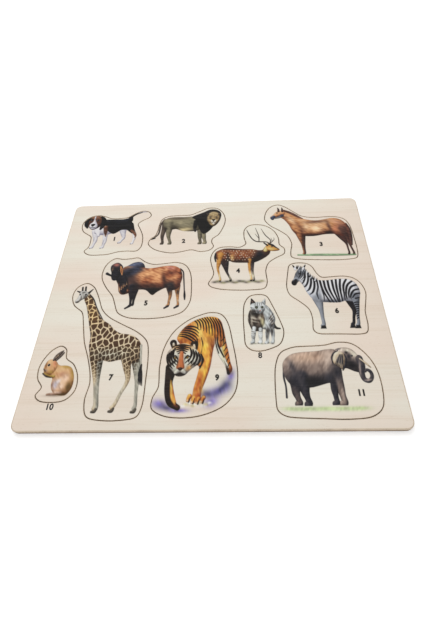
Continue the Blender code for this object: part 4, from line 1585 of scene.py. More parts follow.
@dataclass
class Zebra(AnimalPiece):
    """A zebra that stands side on."""

    drawn: Box = (70.0, -38.6, 138.3, 33.1)
    label: Spot = (110.5, -17.0)
    hair_angle: float = -70.0

    def paint(self) -> None:
        """Paint the body in pale grey, then its stripes, the legs, the head and the mane."""
        c = self.canvas
        white = Coat(0x86868E, 0xECECEE, 0xFFFFFE, 0.1)
        grey = Coat(0x30343C, 0x8C9098, 0xD8DCE0, 0.06)
        black = Coat(0x06060C, 0x16161E, 0x4A4C58, 0.06)
        c.leg((121.6, -4), (125.2, -17), (122.4, -30), 3.6, 1.3, black, lift=0.08)
        c.patch([(86, 26.5), (90.6, 22.6), (95, 16.4), (99.4, 14), (108, 13.8), (117, 14.9), (126, 14.2),
            (131, 10.8), (133.6, 4.5), (133.4, -2), (130.4, -6.6), (125, -8.2), (120, -7.6), (114, -9.2),
            (100, -8.6), (94, -8), (87, 1.5), (84.8, 8), (82.6, 12), (80.5, 15)], white, 7)
        c.leg((127.6, -2), (128.2, -16), (126.4, -31), 5.4, 1.3, grey, 4)
        c.leg((95.5, -3), (97.2, -16), (97.6, -31), 5.2, 1.5, grey, 4, 0.1)
        whole = c.ink.copy()
        flank = [(100, 107, -2.2), (103.4, 109.8, -2.4), (107, 112.4, -2.2), (110.8, 114.4, -1.4)]
        stripes = [[(a, 14.6, 1), ((a + b) / 2 + bow, 4, 0.95), (b - 0.6, -9.4, 0.5)] for a, b, bow in flank]
        stripes += [[(131.6 - 0.25 * k, -9.6 - 2.1 * k, 0.45), (128.5 - 0.1 * k, -9.2 - 2.1 * k, 0.62),
            (125.4 + 0.1 * k, -10.4 - 2.1 * k, 0.3)] for k in range(8)]
        stripes += [[(114.6, 15.2, 0.9), (114, 6, 1), (114.8, -8.8, 0.5)], [(118.6, 15.4, 0.9), (117, 6, 1),
            (117, -8, 0.5)], [(124, 14.6, 0.9), (120.4, 8, 1), (119.4, -6.6, 0.4)], [(129, 12.6, 0.9),
            (123.8, 8, 1), (121.2, -1, 0.8), (121.2, -6, 0.4)], [(132.4, 8.4, 0.9), (127, 6.4, 1),
            (123.6, 0, 0.8), (123.2, -5, 0.4)], [(133.8, 4, 0.8), (128.6, 2.6, 0.9), (125, -2.6, 0.8),
            (124.6, -6, 0.3)], [(134, -0.4, 0.7), (129.4, -1, 0.8), (126.2, -4.6, 0.5)], [(133, -4.6, 0.6),
            (128.6, -5.4, 0.7)], [(97.4, 14, 0.8), (97.6, 7, 0.8), (95.8, 0, 0.7), (96.6, -5.5, 0.3)],
            [(95, 16, 0.9), (94.6, 8, 1), (92.4, 1.8, 0.9), (89.4, -0.8, 0.4)], [(92.6, 19, 0.9),
            (91.8, 10.6, 1), (89.4, 4.6, 0.9), (86.6, 2.4, 0.4)], [(90.4, 21.6, 0.8), (89.4, 13.4, 0.9),
            (87, 8.4, 0.8), (84.4, 6.6, 0.4)], [(88, 23.4, 0.7), (87, 16.6, 0.8), (85, 12, 0.7),
            (83.2, 10.2, 0.3)], [(100.6, 4, 0.5), (101.6, -3, 0.5), (101, -7.5, 0.25)]]
        for stripe in stripes:
            c.limb(stripe, black, within=whole, strength=0.96)
        c.sprays([(107, -8, 9, 1.6, grey.shade, 0.5), (98, 0, 3, 7, grey.plain, 0.5),
            (88.4, 0, 2.6, 5, 0xD6DEEC, 0.5, 30)])
        for x, y in ((97, -30.6), (125.8, -30.8), (121.4, -30.4)):
            c.patch([(x - 1.6, y), (x + 2, y), (x + 2.4, y - 3), (x - 2.8, y - 3)], black, 1.2, steps=1)
        c.limb([(85, 23.4, 4.4), (82, 19.4, 3.8), (79.6, 15.6, 2.8), (77.4, 12.4, 2.3)], grey, 2.5, 0.06)
        head = c.ink.copy()
        for k in range(4):
            for line in ([(79.4 + 1.7 * k, 27.2 - 0.4 * k, 0.3), (79.3 + 1.25 * k, 22.6 - 0.5 * k, 0.45),
                    (77.8 + 1.2 * k, 17.4, 0.2)], [(84.6 + 1.1 * k, 24.4 - k, 0.3),
                    (83.6 + 1.3 * k, 19.8 - k, 0.45), (81 + 1.3 * k, 16.4 - 0.9 * k, 0.2)]):
                c.limb(line, black, within=head, strength=0.85)
        c.limb([(78.6, 14.6, 1.8), (76.9, 12, 2.6), (76.8, 11.2, 2.4)], black, 1.2)
        c.eye(83, 21.3, 0.9, black.shade)
        for k in range(17):
            share = k / 16
            x, y = 80 + 17.5 * share, 29.6 - 14.4 * share + 3.2 * math.sin(math.pi * min(1, share * 1.4))
            c.limb([(x - 0.9, y - 2.4, 0.7), (x + 0.5, y + 0.7, 0.3)], black if k % 3 else white, 0.4)
        for x, tilt in ((79.4, -1.6), (86.4, 2)):
            c.limb([(x, 26.2, 1.2), (x + tilt, 30, 0.6)], white)
            c.limb([(x + 0.8 * tilt, 29, 0.8), (x + 1.3 * tilt, 30.8, 0.5)], black)


@dataclass
class Giraffe(AnimalPiece):
    """A giraffe whose tiles are coarse on the neck and fine on the legs."""

    drawn: Box = (-129.0, -105.9, -50.7, 16.3)
    label: Spot = (-79.5, -73.0)
    hair_angle: float = -65.0

    def paint(self) -> None:
        """Paint the far legs, the body, the near legs, the tiles, the tail and the head."""
        c = self.canvas
        cream = Coat(0x8C745A, 0xE8D4B2, 0xFCF2DC, 0.12)
        grey = Coat(0x60605A, 0xBCB8AA, 0xE8E6DC)
        white = Coat(0x68625C, 0xCECCC6, 0xFCFAF6)
        black = Coat(0x0A0A0C, 0x222024, 0x5C5658, 0.16)
        hoof = Coat(0x322C28, 0x625A50, 0x968E82)
        c.leg((-62, -52), (-57.6, -76), (-56.4, -97.4), 5, 1.3, grey, lift=-0.06, sole=3)
        c.leg((-92, -58), (-90.2, -76), (-86.6, -97.4), 3.4, 1.2, grey, lift=-0.14, sole=3)
        c.patch([(-117.6, 0.4), (-113.2, 5.2), (-99.6, -17.6), (-95.6, -21.8), (-89, -26), (-84, -31),
            (-78, -34.6), (-70, -36), (-64, -38.4), (-59.6, -42.4), (-57.2, -48), (-58, -58), (-64, -62),
            (-73, -58.6), (-83, -60.2), (-91, -58.6), (-97, -61), (-103.4, -47), (-104, -38), (-107.4, -27),
            (-113.8, -8)], cream, 9)
        c.leg((-97.6, -54), (-91.8, -76), (-88, -97), 4, 1.4, cream, 3, -0.04, 3)
        c.leg((-69.6, -54), (-65.4, -75.4), (-74, -96.6), 5.2, 1.3, cream, 3, -0.04, 3)
        for x, y, wide, high in ((-90, -88, 3, 12), (-68.6, -88, 6, 11), (-58, -80, 4, 22)):
            c.spray(x, y, wide, high, grey.plain, 0.8)
        c.sprays([(-84, -54, 17, 6, 0xD6D6C6, 0.75), (-107, -14, 4.4, 16, 0xFFDEA4, 0.8, 25)])
        x, y = c.points.T
        back = smoothstep(-60.4, -62, y) * smoothstep(-62, -58, x)
        for size, low, high, tint, seed in ((4.2, -22.0, 3.5, (0.44, 0.36, 0.29), 7),
                (4.8, -47.0, -22.0, (0.4, 0.32, 0.27), 3), (3.5, -62.0, -47.0, (0.42, 0.36, 0.31), 5),
                (2.4, -80.0, -62.0, (0.47, 0.42, 0.37), 9)):
            zone = c.ink * smoothstep(-82, -60, y) * smoothstep(low - 0.3, low + 0.3,
                y) * smoothstep(high + 0.3, high - 0.3, y) * (1 - back)
            c.tiles((x + 0.2 * y) / size, (0.8 * y - 0.3 * x) / size, 0.17, tint, zone, seed)
        c.spray(-91, -82, 3, 5, grey.plain, 0.8)
        c.limb([(-113.4, 4.4, 0.7), (-108.8, -0.4, 0.7), (-104, -9.4, 0.6), (-96, -21.6, 0.4)],
            black, 0.5, 0.1)
        for x, y in ((-89, -99), (-75.4, -98.8), (-57.8, -99.4)):
            c.limb([(x + 1.6, y + 1.4, 1.3), (x + 0.8, y - 0.2, 1.4), (x - 1.4, y - 0.6, 1)], hoof, 0.5)
        c.limb([(-58, -46, 1), (-57, -56, 0.9), (-56, -63, 0.7)], grey, 0.4, 0.1)
        for k in range(4):
            c.limb([(-55.6, -63 - k, 0.8), (-56.6 + 0.6 * k, -70, 1),
                (-56.4 + 1.1 * k, -78.6 - 0.5 * k, 0.3)], black, 0.3)
        for line in ([(-114.6, 6.2, 1.3), (-111.3, 10, 0.5)], [(-122.4, 6.8, 1.1), (-126.2, 8.4, 0.5)],
                [(-121, 7, 0.9), (-121.7, 12.2, 0.9)], [(-118, 7, 0.9), (-118.7, 12.6, 0.9)]):
            c.limb(line, black, 0, 0.1)
        c.patch([(-123, 7.4), (-120.4, 8.8), (-116.6, 7.8), (-114.4, 5), (-115.2, 1.8), (-120.4, -1.6),
            (-122.6, -4), (-125.2, -4.2), (-126, -2), (-124.6, 0.4), (-123.6, 3.6)], white, 3, 0.4)
        for x, y, wide, high in ((-124, -3.2, 1.8, 1), (-119.6, 6.8, 2.2, 0.9), (-117.4, 2.6, 1.2, 1.4),
                (-121, 1.6, 0.8, 2.4)):
            c.spray(x, y, wide, high, hoof.shade, 0.6, 10)
        c.eye(-122.7, 4.7, 0.8, black.shade)
        c.eye(-117.3, 4.5, 0.9, black.shade)


@dataclass
class Cat(AnimalPiece):
    """A silver tabby cat that steps forward."""

    drawn: Box = (29.9, -52.1, 63.2, 0.2)
    hair_angle: float = -70.0

    def paint(self) -> None:
        """Paint the ground, the tail, the far legs, the body, the chest, the near legs and the head."""
        c = self.canvas
        silver = Coat(0x68686A, 0xD6DAD8, 0xFCFFFF, 0.26)
        grey = Coat(0x221E1E, 0x68574E, 0xD6D0C0, 0.42)
        dark = Coat(0x100E0E, 0x2C2624, 0x7A7068, 0.18)
        for k in range(7):
            c.spray(36 + 2.9 * k, -46.2 + 0.3 * (k % 3), 1.5, 0.6, (dark.plain, 0x808668)[k % 2],
                0.8, 0, c.every)
        c.limb([(54.4, -27, 2), (56, -30.6, 1.4), (58, -32.4, 1.1), (60.6, -32.8, 0.7)], dark, 0.5)
        c.leg((53, -29), (54.2, -38), (53.9, -45), 3, 1.2, silver, lift=-0.06)
        c.patch([(47.6, -9.4), (51, -11), (56.8, -20.6), (57, -26), (54.8, -30.4), (51, -33), (46, -33),
            (42, -28), (42, -16)], silver, 5)
        for k in range(4):
            c.limb([(55.8 + 0.3 * k, -18.4 - 2.6 * k, 0.3), (53.8 + 0.2 * k, -21 - 2.5 * k, 0.8),
                (51 + 0.3 * k, -25.4 - 2 * k, 0.25)], grey, 0.3, within=c.ink.copy(), strength=0.8)
        c.leg((51, -29), (49.4, -38), (49.2, -45.2), 2.4, 1.3, silver)
        for x, y, wide, high in ((53.6, -35, 1, 4), (50, -34.6, 1.8, 3.4), (49, -40, 0.9, 3)):
            c.spray(x, y, wide, high, dark.plain, 0.85)
        c.patch([(36.4, -14), (33.4, -24), (34.8, -29.4), (36.4, -33), (40, -35), (44.4, -34), (48.8, -25),
            (47.4, -18), (45, -14)], grey, 5, 1.2)
        c.sprays([(40, -18.4, 6, 3, dark.shade, 0.85), (39.6, -31, 4.4, 3.6, dark.plain, 0.85),
            (39, -23, 4.6, 1, grey.bright, 0.85, -14), (39.4, -26, 4.4, 0.8, grey.bright, 0.85, -14),
            (46, -26.4, 1.9, 4.6, 0xE6DEB2, 0.85, 8), (35, -24, 1.2, 6, dark.plain, 0.85)])
        c.leg((38.6, -32), (37.6, -39), (37.4, -44.8), 2.4, 1.3, silver, 1.4, 0.02)
        c.leg((43.8, -33), (43.6, -39), (43.7, -45), 2.2, 1.3, silver, 1.4, 0.04)
        for k in range(4):
            y = -35 - 1.9 * k
            c.limb([(36.2, y, 0.3), (37.6, y - 0.4, 0.6), (39, y, 0.3)], grey, 0.3, strength=0.6 - 0.1 * k)
            c.limb([(42.3, y, 0.3), (43.6, y - 0.4, 0.5), (45, y, 0.3)], grey, 0.3, strength=0.5 - 0.1 * k)
        c.patch([(36.2, -9.6), (36.6, -5.6), (37, -3.2), (38.8, -4.8), (40.8, -7.8)], dark, 1.2)
        c.patch([(45.6, -8), (48, -5.2), (49.4, -3.7), (49.8, -6.6), (49.2, -10)], silver, 1.2, 0, -0.1)
        c.spray(38.2, -6.8, 1, 1.5, 0xB08C80, 0.7, 20)
        c.patch([(36.8, -8.6), (40, -7.6), (43, -7), (46.4, -7.6), (49, -9.4), (49.8, -12.8), (46.4, -18.4),
            (39.6, -18), (36.8, -15.6), (35.8, -12)], silver, 4, 0.8, 0.04)
        for k in range(4):
            c.limb([(40.6 + 1.7 * k, -7.9, 0.3), (40.4 + 1.9 * k, -10.4, 0.2)], grey, strength=0.7)
            c.limb([(36.4 + 0.5 * k, -12.4 - 1.3 * k, 0.5), (40, -13.2 - 1.3 * k, 0.2)],
                dark, 0.3, strength=0.85)
        c.spray(39, -16, 3, 1.8, dark.plain, 0.8)
        c.eye(41.4, -12.3, 1.4, 0x788054)
        c.eye(46.6, -12.2, 1.2, 0x788054)
        c.dot(44.5, -15.4, 0.6, 0xA06862)
        c.limb([(42.4, -17.3, 0.2), (44.5, -16.6, 0.25), (46.5, -17.3, 0.2)], dark)


@dataclass
class Tiger(AnimalPiece):
    """A tiger that walks towards you with its head low."""

    drawn: Box = (-43.7, -104.0, 23.8, -16.8)
    label: Spot = (7.5, -74.0)
    hair_angle: float = -75.0

    def paint(self) -> None:
        """Paint the ground's shade, the haunch, the body, the legs and the head."""
        c = self.canvas
        orange = Coat(0x8A4628, 0xE29C50, 0xFFE68A, 0.2)
        white = Coat(0x827E7C, 0xE8E6D6, 0xFFFEF6, 0.08)
        black = Coat(0x080506, 0x221816, 0x584036, 0.08)
        for x, y, wide, high, turn, tint in ((-37, -94, 8, 4, -8, 0), (-31, -97, 8, 2.6, -8, 1),
                (18.6, -73, 3.4, 6, -20, 0), (15, -80, 5, 5, 50, 1), (8, -85, 10, 4.4, 12, 0),
                (0, -87, 8, 3.6, -8, 1), (11, -83, 7, 2.6, 40, 1), (3, -93, 6, 4, 20, 0),
                (-22, -99, 8, 1.8, 0, 0)):
            c.spray(x, y, wide, high, (0x8678C4, 0x545280)[tint], 0.88, turn, c.every)
        for k in range(9):
            c.spray(-19 + 2.6 * k, -95.6 + 1.1 * (k % 3), 2.2, 1.2, (white.bright, 0xDCD09A)[k % 2],
                0.8, 0, c.every)
        c.leg((9, -34), (14.8, -55), (18.4, -68.4), 4, 1.7, orange, lift=-0.1, sole=3)
        c.limb([(8, -46, 3), (9.8, -53, 2.6), (13, -60, 1.8), (16, -66, 1.2)], white, 0, 0.04)
        c.spray(17.6, -69, 3, 3, 0x5C3224, 0.9)
        c.limb([(12.8, -60, 0.6), (15.4, -66, 1.1), (16.8, -70.6, 1.6)], black, 1.4)
        c.patch([(-27.4, -41), (-24.6, -34), (-18.4, -27.4), (-10, -22.6), (0, -20.4), (7.4, -21.8),
            (11.4, -27.4), (12.4, -46), (9, -49.6), (6.4, -44), (4.4, -49), (1, -64), (-6, -66), (-12, -60),
            (-20, -50)], orange, 9)
        c.sprays([(-7.6, -36, 3, 8, orange.bright, 0.8, 20), (-2.4, -50, 3.4, 8, orange.bright, 0.8),
            (12.6, -50, 1.6, 8, orange.bright, 0.8), (6.4, -44.6, 2, 4, white.plain, 0.8),
            (-18, -31, 6, 3.4, 0xAA4C2C, 0.8, 40), (0.6, -33, 3, 9, 0xFFD660, 0.8, 8)])
        body = c.ink.copy()
        stripes = []
        for k in range(10):
            x, drop = -14.6 + 2.5 * k, 9 + 1.7 * k
            y = -23.8 + 2.8 * math.sin(math.pi * (k + 1) / 11)
            stripes.append([(x, y, 0.5), (x + 3.4, y - 0.3 * drop, 0.62), (x + 4.6, y - 0.64 * drop, 0.55),
                (x + 4.9, y - drop, 0.2)])
        for k in range(6):
            y = -30.6 - 1.5 * k
            stripes.append([(-22.4 - 0.8 * k, y, 0.3), (-16.8 - 0.6 * k, y + 1.2 - 0.5 * k, 0.8),
                (-11.6 - 0.4 * k, y + 0.2 - 1.1 * k, 0.65), (-8.4 - 0.3 * k, y - 2.4 - 1.4 * k, 0.25)])
            stripes.append([(13.6 + 0.8 * k, -40 - 4.4 * k, 0.5), (10.6 + 1.1 * k, -43.4 - 4.4 * k, 0.3)])
        stripes += [[(7.2, -40, 0.3), (7.8, -46, 0.7), (10.2, -52, 0.7), (13, -57.4, 0.5)], [(5.4, -40, 0.2),
            (6.6, -48, 0.5), (8.6, -54, 0.4)], [(-6.4, -40, 0.3), (-5, -47, 0.6), (-7.4, -58, 0.2)],
            [(-10.6, -40, 0.3), (-9.4, -46, 0.6), (-11, -54, 0.3)]]
        for stripe in stripes:
            c.limb(stripe, black, within=body, strength=0.94)
        c.limb([(-30, -66, 5), (-31.4, -76, 3.4), (-31.2, -86, 3), (-29, -93, 2.8), (-23, -96.8, 2.2)],
            black, 0, 0.06)
        c.limb([(-29.6, -76, 1), (-28.8, -84, 1.9), (-27.4, -90, 2.2), (-25, -94.6, 1.4)], orange, 1.6, 0.1)
        c.sprays([(-29, -82, 0.8, 6, orange.bright, 0.9, 10), (-24.4, -95.6, 3, 1.6, 0x6E3C2C, 0.8, -20)])
        c.limb([(-1.8, -50, 5), (-2.2, -62, 4.6), (-5, -74, 4), (-7.8, -83, 3.5), (-8.8, -90.4, 3.4)],
            orange, 3)
        c.sprays([(-2, -68, 1.6, 14, 0xFFDA64, 0.75, -12), (-7.4, -78, 1.6, 7, 0xBC5C32, 0.75, -14),
            (-3.6, -50, 3, 6, 0xFFD660, 0.75), (-7.4, -88, 4, 3, 0xB05830, 0.75),
            (-4, -84, 1.4, 3, 0xFACE60, 0.75)])
        for x, y in ((-15.6, -91.8), (-12.2, -93), (-8.4, -93.4), (-4.6, -92.8)):
            c.limb([(x + 1.8, y + 3.4, 1.9), (x + 0.8, y + 1.6, 1.6), (x, y, 1.1)], orange, 1.4, 0.04)
            c.limb([(x + 2.2, y + 3, 0.4), (x + 1.7, y + 0.8, 0.6), (x + 1.1, y - 0.9, 0.7)], black, 0.5)
            c.spray(x - 0.2, y + 0.2, 0.9, 0.9, white.bright, 0.6)
        for x, y in ((-29.6, -44.4), (-12, -46)):
            c.limb([(x - 0.6, y, 3), (x + 0.4, y - 3, 2.6)], black)
            c.limb([(x - 0.4, y - 0.6, 1.2), (x, y - 2.6, 1.3)], white, 0.6)
        c.patch([(-24, -44.8), (-17, -45.2), (-11.4, -48.6), (-7.4, -53.4), (-4.4, -58), (-6, -62),
            (-10.4, -64.6), (-15, -68.4), (-19.6, -72.4), (-25.6, -72.6), (-29.4, -69), (-33.4, -64),
            (-35.2, -57.4), (-33.8, -51.6)], white, 6, 1)
        c.sprays([(-22, -48.4, 9, 3, orange.plain, 0.95), (-33, -58, 1.8, 8, black.bright, 0.8)])
        head = c.ink.copy()
        for k in range(5):
            y, reach = -46 - 1.6 * k, 7.6 - 1.1 * k
            c.limb([(-22.4 - reach, y - 1.4, 0.4), (-22.4, y - 0.2, 0.8), (-22.4 + reach, y - 1.4, 0.4)],
                black, within=head)
            for side, x in ((1, -15.6 + 2.4 * k), (-1, -28.2 - 1.6 * k)):
                top = -49 - 1.4 * k
                c.limb([(x, top, 0.5), (x + 1.5 * side, top - 5, 1), (x - 0.8 * side, top - 12, 0.4)],
                    black, within=head)
                c.limb([(x - 0.6 * side, top - 10, 0.7), (x - 3.6 * side, top - 13, 0.3)], black, within=head)
        c.patch([(-24, -51.4), (-21, -51.6), (-20, -60), (-19, -66), (-22.8, -68.6), (-26.8, -66),
            (-25.4, -60)], Coat(0x643222, 0xCC7E50, 0xF0BC90, 0.14), 2.4, 1.2, 0.02)
        c.sprays([(-25.4, -60, 0.7, 6, black.plain, 0.6), (-19.6, -58, 0.6, 4, black.plain, 0.4),
            (-22.8, -71.2, 6, 3, black.plain, 0.9), (-16, -66, 3, 2, orange.plain, 0.7, 40)])
        for side in (-1, 1):
            c.limb([(-22.8 + side * 2.2, -68.6, 2), (-22.8 + side * 3.6, -69.8, 1.8)], white, 0.8, -0.18)
            c.eye(-22.6 + side * 4.9, -57, 1.4, 0xCEA846)
            c.limb([(-22.6 + side * 3, -58.4, 0.5), (-22.6 + side * 5, -55.6, 0.6),
                (-22.6 + side * 7, -56.4, 0.4)], black)
        c.patch([(-25, -66), (-22.9, -65.4), (-20.8, -66), (-22, -68), (-23.8, -68)], black, 1, 0, 0.3)
        c.limb([(-27, -71.4, 0.4), (-22.9, -70.6, 0.6), (-18.8, -71.4, 0.4)], black)


@dataclass
class Rabbit(AnimalPiece):
    """A tan rabbit that sits up."""

    drawn: Box = (-142.2, -92.0, -107.1, -45.9)
    hair_angle: float = -55.0

    def paint(self) -> None:
        """Paint the ground, the far ear, the body, the foot, the head, the near ear and the paws."""
        c = self.canvas
        tan = Coat(0x785030, 0xDCAE82, 0xFADCB0, 0.12)
        gold = Coat(0x54421E, 0xB0924E, 0xE6CE8C, 0.12)
        dark = Coat(0x1E1818, 0x584C48, 0xA09288, 0.16)
        c.spray(-124, -87.2, 8, 0.9, 0x968070, 0.7, 0, c.every)
        c.limb([(-129.6, -57.4, 1.5), (-126.6, -54.4, 1.4), (-124.2, -51.6, 0.8)], dark, 0, 0.2)
        c.patch([(-127.6, -61.4), (-124.6, -62.6), (-119.6, -62.7), (-115, -64.2), (-112, -68.4),
            (-110.3, -74), (-110.3, -80), (-111.8, -84), (-114.8, -87), (-120, -87), (-124, -85.6),
            (-127.2, -82.4), (-128.6, -78), (-128.6, -74), (-131, -70.6), (-132, -66)], tan, 8, lift=0.02)
        c.sprays([(-112.6, -69, 2.2, 7, gold.plain, 0.8, 12), (-118.4, -63.8, 6, 1.6, gold.plain, 0.75, -8),
            (-113.6, -80, 3, 5, gold.shade, 0.75, 12), (-118, -86.2, 6, 1.2, gold.shade, 0.85, 3),
            (-121.6, -70, 3.4, 2.6, 0xCA9680, 0.6), (-117.6, -73, 4, 4.4, 0xFCDCC8, 0.75),
            (-120, -80, 4, 4, 0xFADECC, 0.75), (-125, -78.6, 2.4, 4.6, 0xCEC8D6, 0.9, 8),
            (-123, -76, 2, 3, 0xF0E8EC, 0.8, -30), (-127.4, -78, 0.8, 4, 0x96848C, 0.6)])
        c.limb([(-119, -84.8, 2), (-124, -85.6, 1.3), (-129.8, -86.2, 0.9)],
            Coat(0x6E5446, 0xA88A78, 0xDCC0AE), 1.8)
        c.spray(-123, -84.4, 3, 0.9, 0xFADECE, 0.7)
        c.patch([(-131.4, -57.4), (-128.2, -59.6), (-126.4, -62.8), (-127.4, -67), (-130.6, -70.6),
            (-134.4, -70.4), (-137.4, -68), (-138.4, -65), (-137.8, -61), (-135.8, -57.8)], tan, 4, 1.4)
        c.sprays([(-137, -62.6, 1, 3.4, tan.shade, 0.7, 6), (-131.6, -68, 2.4, 1.6, gold.plain, 0.7, -14),
            (-136, -66.6, 1.5, 1.1, dark.bright, 0.7, -20), (-130, -61, 1.6, 3, 0xD68C6E, 0.7, 20)])
        c.limb([(-131.6, -57.8, 1.1), (-129.8, -55, 1.7), (-127.2, -52, 1.4), (-125, -49.9, 0.6)],
            dark, 0.3, 0.02)
        c.spray(-129, -54.4, 0.7, 2.4, tan.bright, 0.5, -38)
        c.dot(-134.6, -62.2, 1.5, 0xEED0B4, 0.7)
        c.eye(-134.6, -62.1, 1.1, dark.shade)
        c.limb([(-138.2, -65.4, 0.4), (-136.2, -67.4, 0.3)], dark)
        c.limb([(-128, -71.6, 1.5), (-131.4, -71.4, 1.2), (-137, -69.1, 0.9)], gold, 0.6)
        c.limb([(-130.4, -72.5, 0.5), (-134.4, -71.6, 0.7), (-137.8, -69.2, 0.7)], dark, 0.3, -0.1)


@dataclass
class Elephant(AnimalPiece):
    """An elephant that feeds itself with its trunk."""

    drawn: Box = (53.6, -105.2, 134.7, -46.1)
    label: Spot = (118.5, -86.5)
    hair_angle: float = 65.0

    def paint(self) -> None:
        """Paint the grass, the far legs, the body in its own shade, the near legs, the head and the trunk."""
        c = self.canvas
        hide = Coat(0x302A30, 0x8E7E76, 0xECD8C8, 0.11)
        shade = Coat(0x10121C, 0x363640, 0x746A6A)
        pale = Coat(0x685A4E, 0xCEBCA2, 0xF6EEDA, 0.16)
        for k in range(9):
            c.spray(64 + 6.6 * k, -97.8 - 0.5 * (k % 2), 7, 1.6, (0xBED496, 0xCEDEAC)[k % 2], 0.7, 0, c.every)
        c.limb([(61.4, -66, 0.9), (60.6, -74, 0.8), (61.6, -81, 0.7), (61.6, -89.6, 0.8)], shade)
        c.leg((69.6, -76), (69, -86), (71.4, -94.6), 5.4, 2.2, hide, lift=-0.2)
        c.leg((99.6, -74), (98.6, -84), (99, -94.6), 4, 2, shade, lift=0.05)
        c.patch([(60.2, -68), (61, -62), (65, -57.4), (71, -54.6), (90, -53), (97, -51.8), (104, -52.4),
            (106, -62), (104, -72), (100, -78), (94, -79.2), (79, -82.6), (66, -80), (62, -75)],
            hide, 10, lift=0.04)
        c.sprays([(80, -58, 17, 5.6, 0xE4C4AC, 0.85, 3), (70, -77, 9, 8, shade.plain, 0.97),
            (84, -78, 12, 5.4, shade.shade, 0.9, 3), (97, -75, 6, 5, shade.plain, 0.95, 20),
            (68, -66, 2.6, 7, shade.plain, 0.6, 20), (88, -57, 2, 5.4, 0x886E60, 0.5, -30),
            (97, -61, 3, 7, hide.bright, 0.6), (78, -68, 6, 4, 0x786862, 0.5)])
        c.leg((74.4, -74), (76.2, -86), (78.6, -95), 7, 2.3, shade, 4)
        c.leg((102, -68), (103.2, -83), (105, -94.8), 4.6, 2.4, hide, 3)
        c.sprays([(102.6, -71, 4.4, 7, shade.plain, 0.98), (104.6, -88, 1.2, 8, hide.bright, 0.6)])
        c.patch([(103, -53), (110, -50.4), (116, -51.4), (120, -55), (124, -66), (122, -71), (117, -70.4),
            (111, -67.8), (106, -67)], hide, 6, 2, 0.04)
        c.sprays([(115.4, -65, 7, 5, shade.shade, 0.9, -20), (113.4, -52.8, 4, 1.8, pale.bright, 0.9, -15),
            (118.6, -56, 2.6, 3.4, pale.bright, 0.9, 30), (108.6, -52.4, 4, 1.6, 0xFAECDC, 0.9, 10),
            (114, -58, 2, 2.4, shade.plain, 0.9)])
        c.limb([(121.6, -60, 3.2), (122.6, -66, 3), (121.8, -72, 2.3), (123, -76.6, 1.9), (126.4, -77.6, 1.7),
            (129, -74.6, 1.5), (128.6, -70.6, 1.4), (126, -69, 1.2), (124.6, -70.4, 0.9)], shade, 1, 0.16)
        c.sprays([(121, -68, 0.9, 6, hide.bright, 0.7, -8), (126, -77, 4, 0.9, hide.bright, 0.6, 10)])
        c.limb([(122.4, -60, 0.9), (126, -63.4, 0.9), (129.4, -67, 0.5)], pale, 0.6)
        c.patch([(100.6, -60), (102, -55.4), (105.6, -53.6), (109.6, -54.6), (111, -58.6), (107.8, -68.4),
            (104.6, -66.4), (101.6, -64.4)], pale, 3, 0.4, 0.06)
        ear = c.ink.copy()
        for k in range(6):
            c.limb([(102 + 1.2 * k, -65 - 0.4 * k, 0.4), (104.2 + 0.9 * k, -60.6, 0.7),
                (107 + 0.5 * k, -56, 0.3)], shade, 0.3, within=ear, strength=(0.5, 0.95)[k % 2])
        c.sprays([(112.6, -54.6, 1.4, 1.2, shade.shade, 0.8), (106.4, -51.8, 2, 0.8, shade.plain, 0.7, 10)])
        c.limb([(100.4, -63, 0.4), (100.4, -58.6, 0.7), (102.6, -54.8, 0.6), (106, -53, 0.4)], shade)
        c.limb([(111, -56.4, 0.6), (111.6, -60.4, 0.9), (109.8, -65.6, 0.9), (107.6, -69, 0.6)], shade, 0.3)
        c.eye(116.6, -57.4, 0.8, shade.shade)


PIECES = (Dog, Lion, Horse, Deer, Ox, Zebra, Giraffe, Cat, Tiger, Rabbit, Elephant)


# The studio


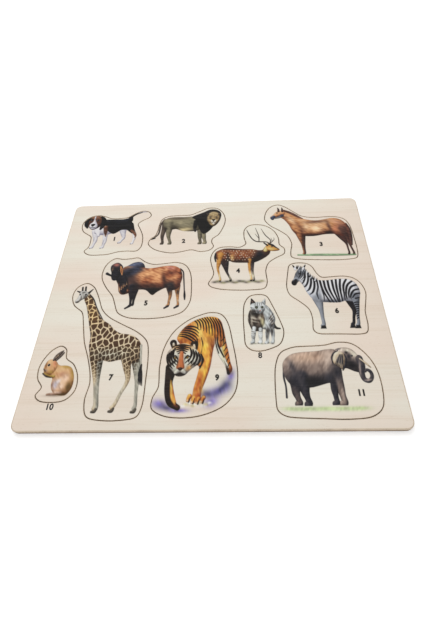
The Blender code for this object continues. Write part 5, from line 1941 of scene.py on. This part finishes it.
@dataclass
class Studio:
    """A white floor, a large soft lamp, even light all round, and the camera at the photograph's angle."""

    floor_size: float = 6.0
    floor_gap: float = 0.0001
    floor_white: float = 0.93
    floor_glow: float = 0.40
    world_light: float = 0.62
    lamp_power: float = 6.2
    lamp_size: float = 1.1
    lamp_place: tuple[float, float, float] = (-0.25, 0.75, 1.25)
    eye: tuple[float, float, float] = (0.02745, -0.17818, 0.32731)
    azimuth: float = math.radians(-3.922)
    elevation: float = math.radians(51.883)
    roll: float = math.radians(-4.68)
    lens: float = 22.982
    shift: tuple[float, float] = (-0.01997, -0.1355)

    def camera(self) -> None:
        """Stand the camera where the photograph was taken from."""
        data = bpy.data.cameras.new("camera")
        data.lens = self.lens
        data.shift_x, data.shift_y = self.shift
        data.clip_start = 0.01
        thing = bpy.data.objects.new("camera", data)
        turns = ((-self.azimuth, "Z"), (math.pi / 2 - self.elevation, "X"), (self.roll, "Z"))
        thing.matrix_world = Matrix.Translation(self.eye)
        for angle, axis in turns:
            thing.matrix_world = thing.matrix_world @ Matrix.Rotation(angle, 4, axis)
        bpy.context.scene.collection.objects.link(thing)
        bpy.context.scene.camera = thing

    def seen_white(self, sketch: NodeSketch, seen: float, plain: float) -> Socket:
        """Make a strength that differs for what the camera, a reflection or a clear thing looks at.

        Args:
            sketch: the tree it is for.
            seen: the strength for these.
            plain: the strength for all else.

        Returns:
            The socket that gives it.
        """
        path = sketch.add("ShaderNodeLightPath").outputs
        total = path["Is Camera Ray"]
        for name in ("Is Glossy Ray", "Is Transmission Ray"):
            total = sketch.math("MAXIMUM", total, path[name])
        inputs = {"Value": total, "To Min": plain, "To Max": seen}
        return sketch.add("ShaderNodeMapRange", inputs).outputs["Result"]

    def floor(self) -> None:
        """Lay the floor, whose white comes from its own colour and what the camera sees."""
        bm = bmesh.new()
        bmesh.ops.create_grid(bm, x_segments=1, y_segments=1, size=self.floor_size / 2)
        mesh = bpy.data.meshes.new("floor")
        bm.to_mesh(mesh)
        bm.free()
        mesh.transform(Matrix.Translation((0, 0, -self.floor_gap)))
        thing = bpy.data.objects.new("floor", mesh)
        bpy.context.scene.collection.objects.link(thing)
        sketch = MaterialSketch("floor_white")
        glow = self.seen_white(sketch, self.floor_glow, 0.0)
        shader = sketch.add("ShaderNodeBsdfPrincipled", {
            "Base Color": (*(self.floor_white,) * 3, 1.0), "Roughness": 0.9, "Specular IOR Level": 0.1,
            "Emission Color": (1, 1, 1, 1), "Emission Strength": glow,
        })
        sketch.add("ShaderNodeOutputMaterial", {"Surface": shader.outputs[0]})
        mesh.materials.append(sketch.material)

    def light(self) -> None:
        """Hang the lamp, and fill the room with even light."""
        data = bpy.data.lights.new("soft_lamp", "AREA")
        data.shape = "DISK"
        data.size = self.lamp_size
        data.energy = self.lamp_power
        lamp = bpy.data.objects.new("soft_lamp", data)
        lamp.location = self.lamp_place
        lamp.rotation_euler = (-Vector(self.lamp_place)).to_track_quat("-Z", "Y").to_euler()
        bpy.context.scene.collection.objects.link(lamp)
        world = bpy.data.worlds.new("even_light")
        world.use_nodes = True
        sketch = NodeSketch(world.node_tree)
        strength = self.seen_white(sketch, 1.0, self.world_light)
        sky = sketch.add("ShaderNodeBackground", {"Color": (1, 1, 1, 1), "Strength": strength})
        sketch.add("ShaderNodeOutputWorld", {"Surface": sky.outputs[0]})
        bpy.context.scene.world = world

    def build(self) -> None:
        """Set the room up."""
        self.camera()
        self.floor()
        self.light()
        bpy.context.scene.view_settings.view_transform = "Standard"
        log.info("studio ready")


# Numbers printed on the board, beside pieces that have no room for theirs, in millimetres
BOARD_NUMBERS = [("8", 40.9, -56.5), ("10", -122.9, -94.7)]


def main() -> None:
    """Build the puzzle and its studio."""
    logging.basicConfig(level=logging.INFO, format="%(name)s: %(message)s")
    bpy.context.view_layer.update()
    Studio().build()
    sheet = Sheet(Finishes())
    Tray(sheet, BOARD_NUMBERS).build()
    for number, kind in enumerate(PIECES, 1):
        kind(sheet, number).build()


if __name__ == "__main__":
    main()
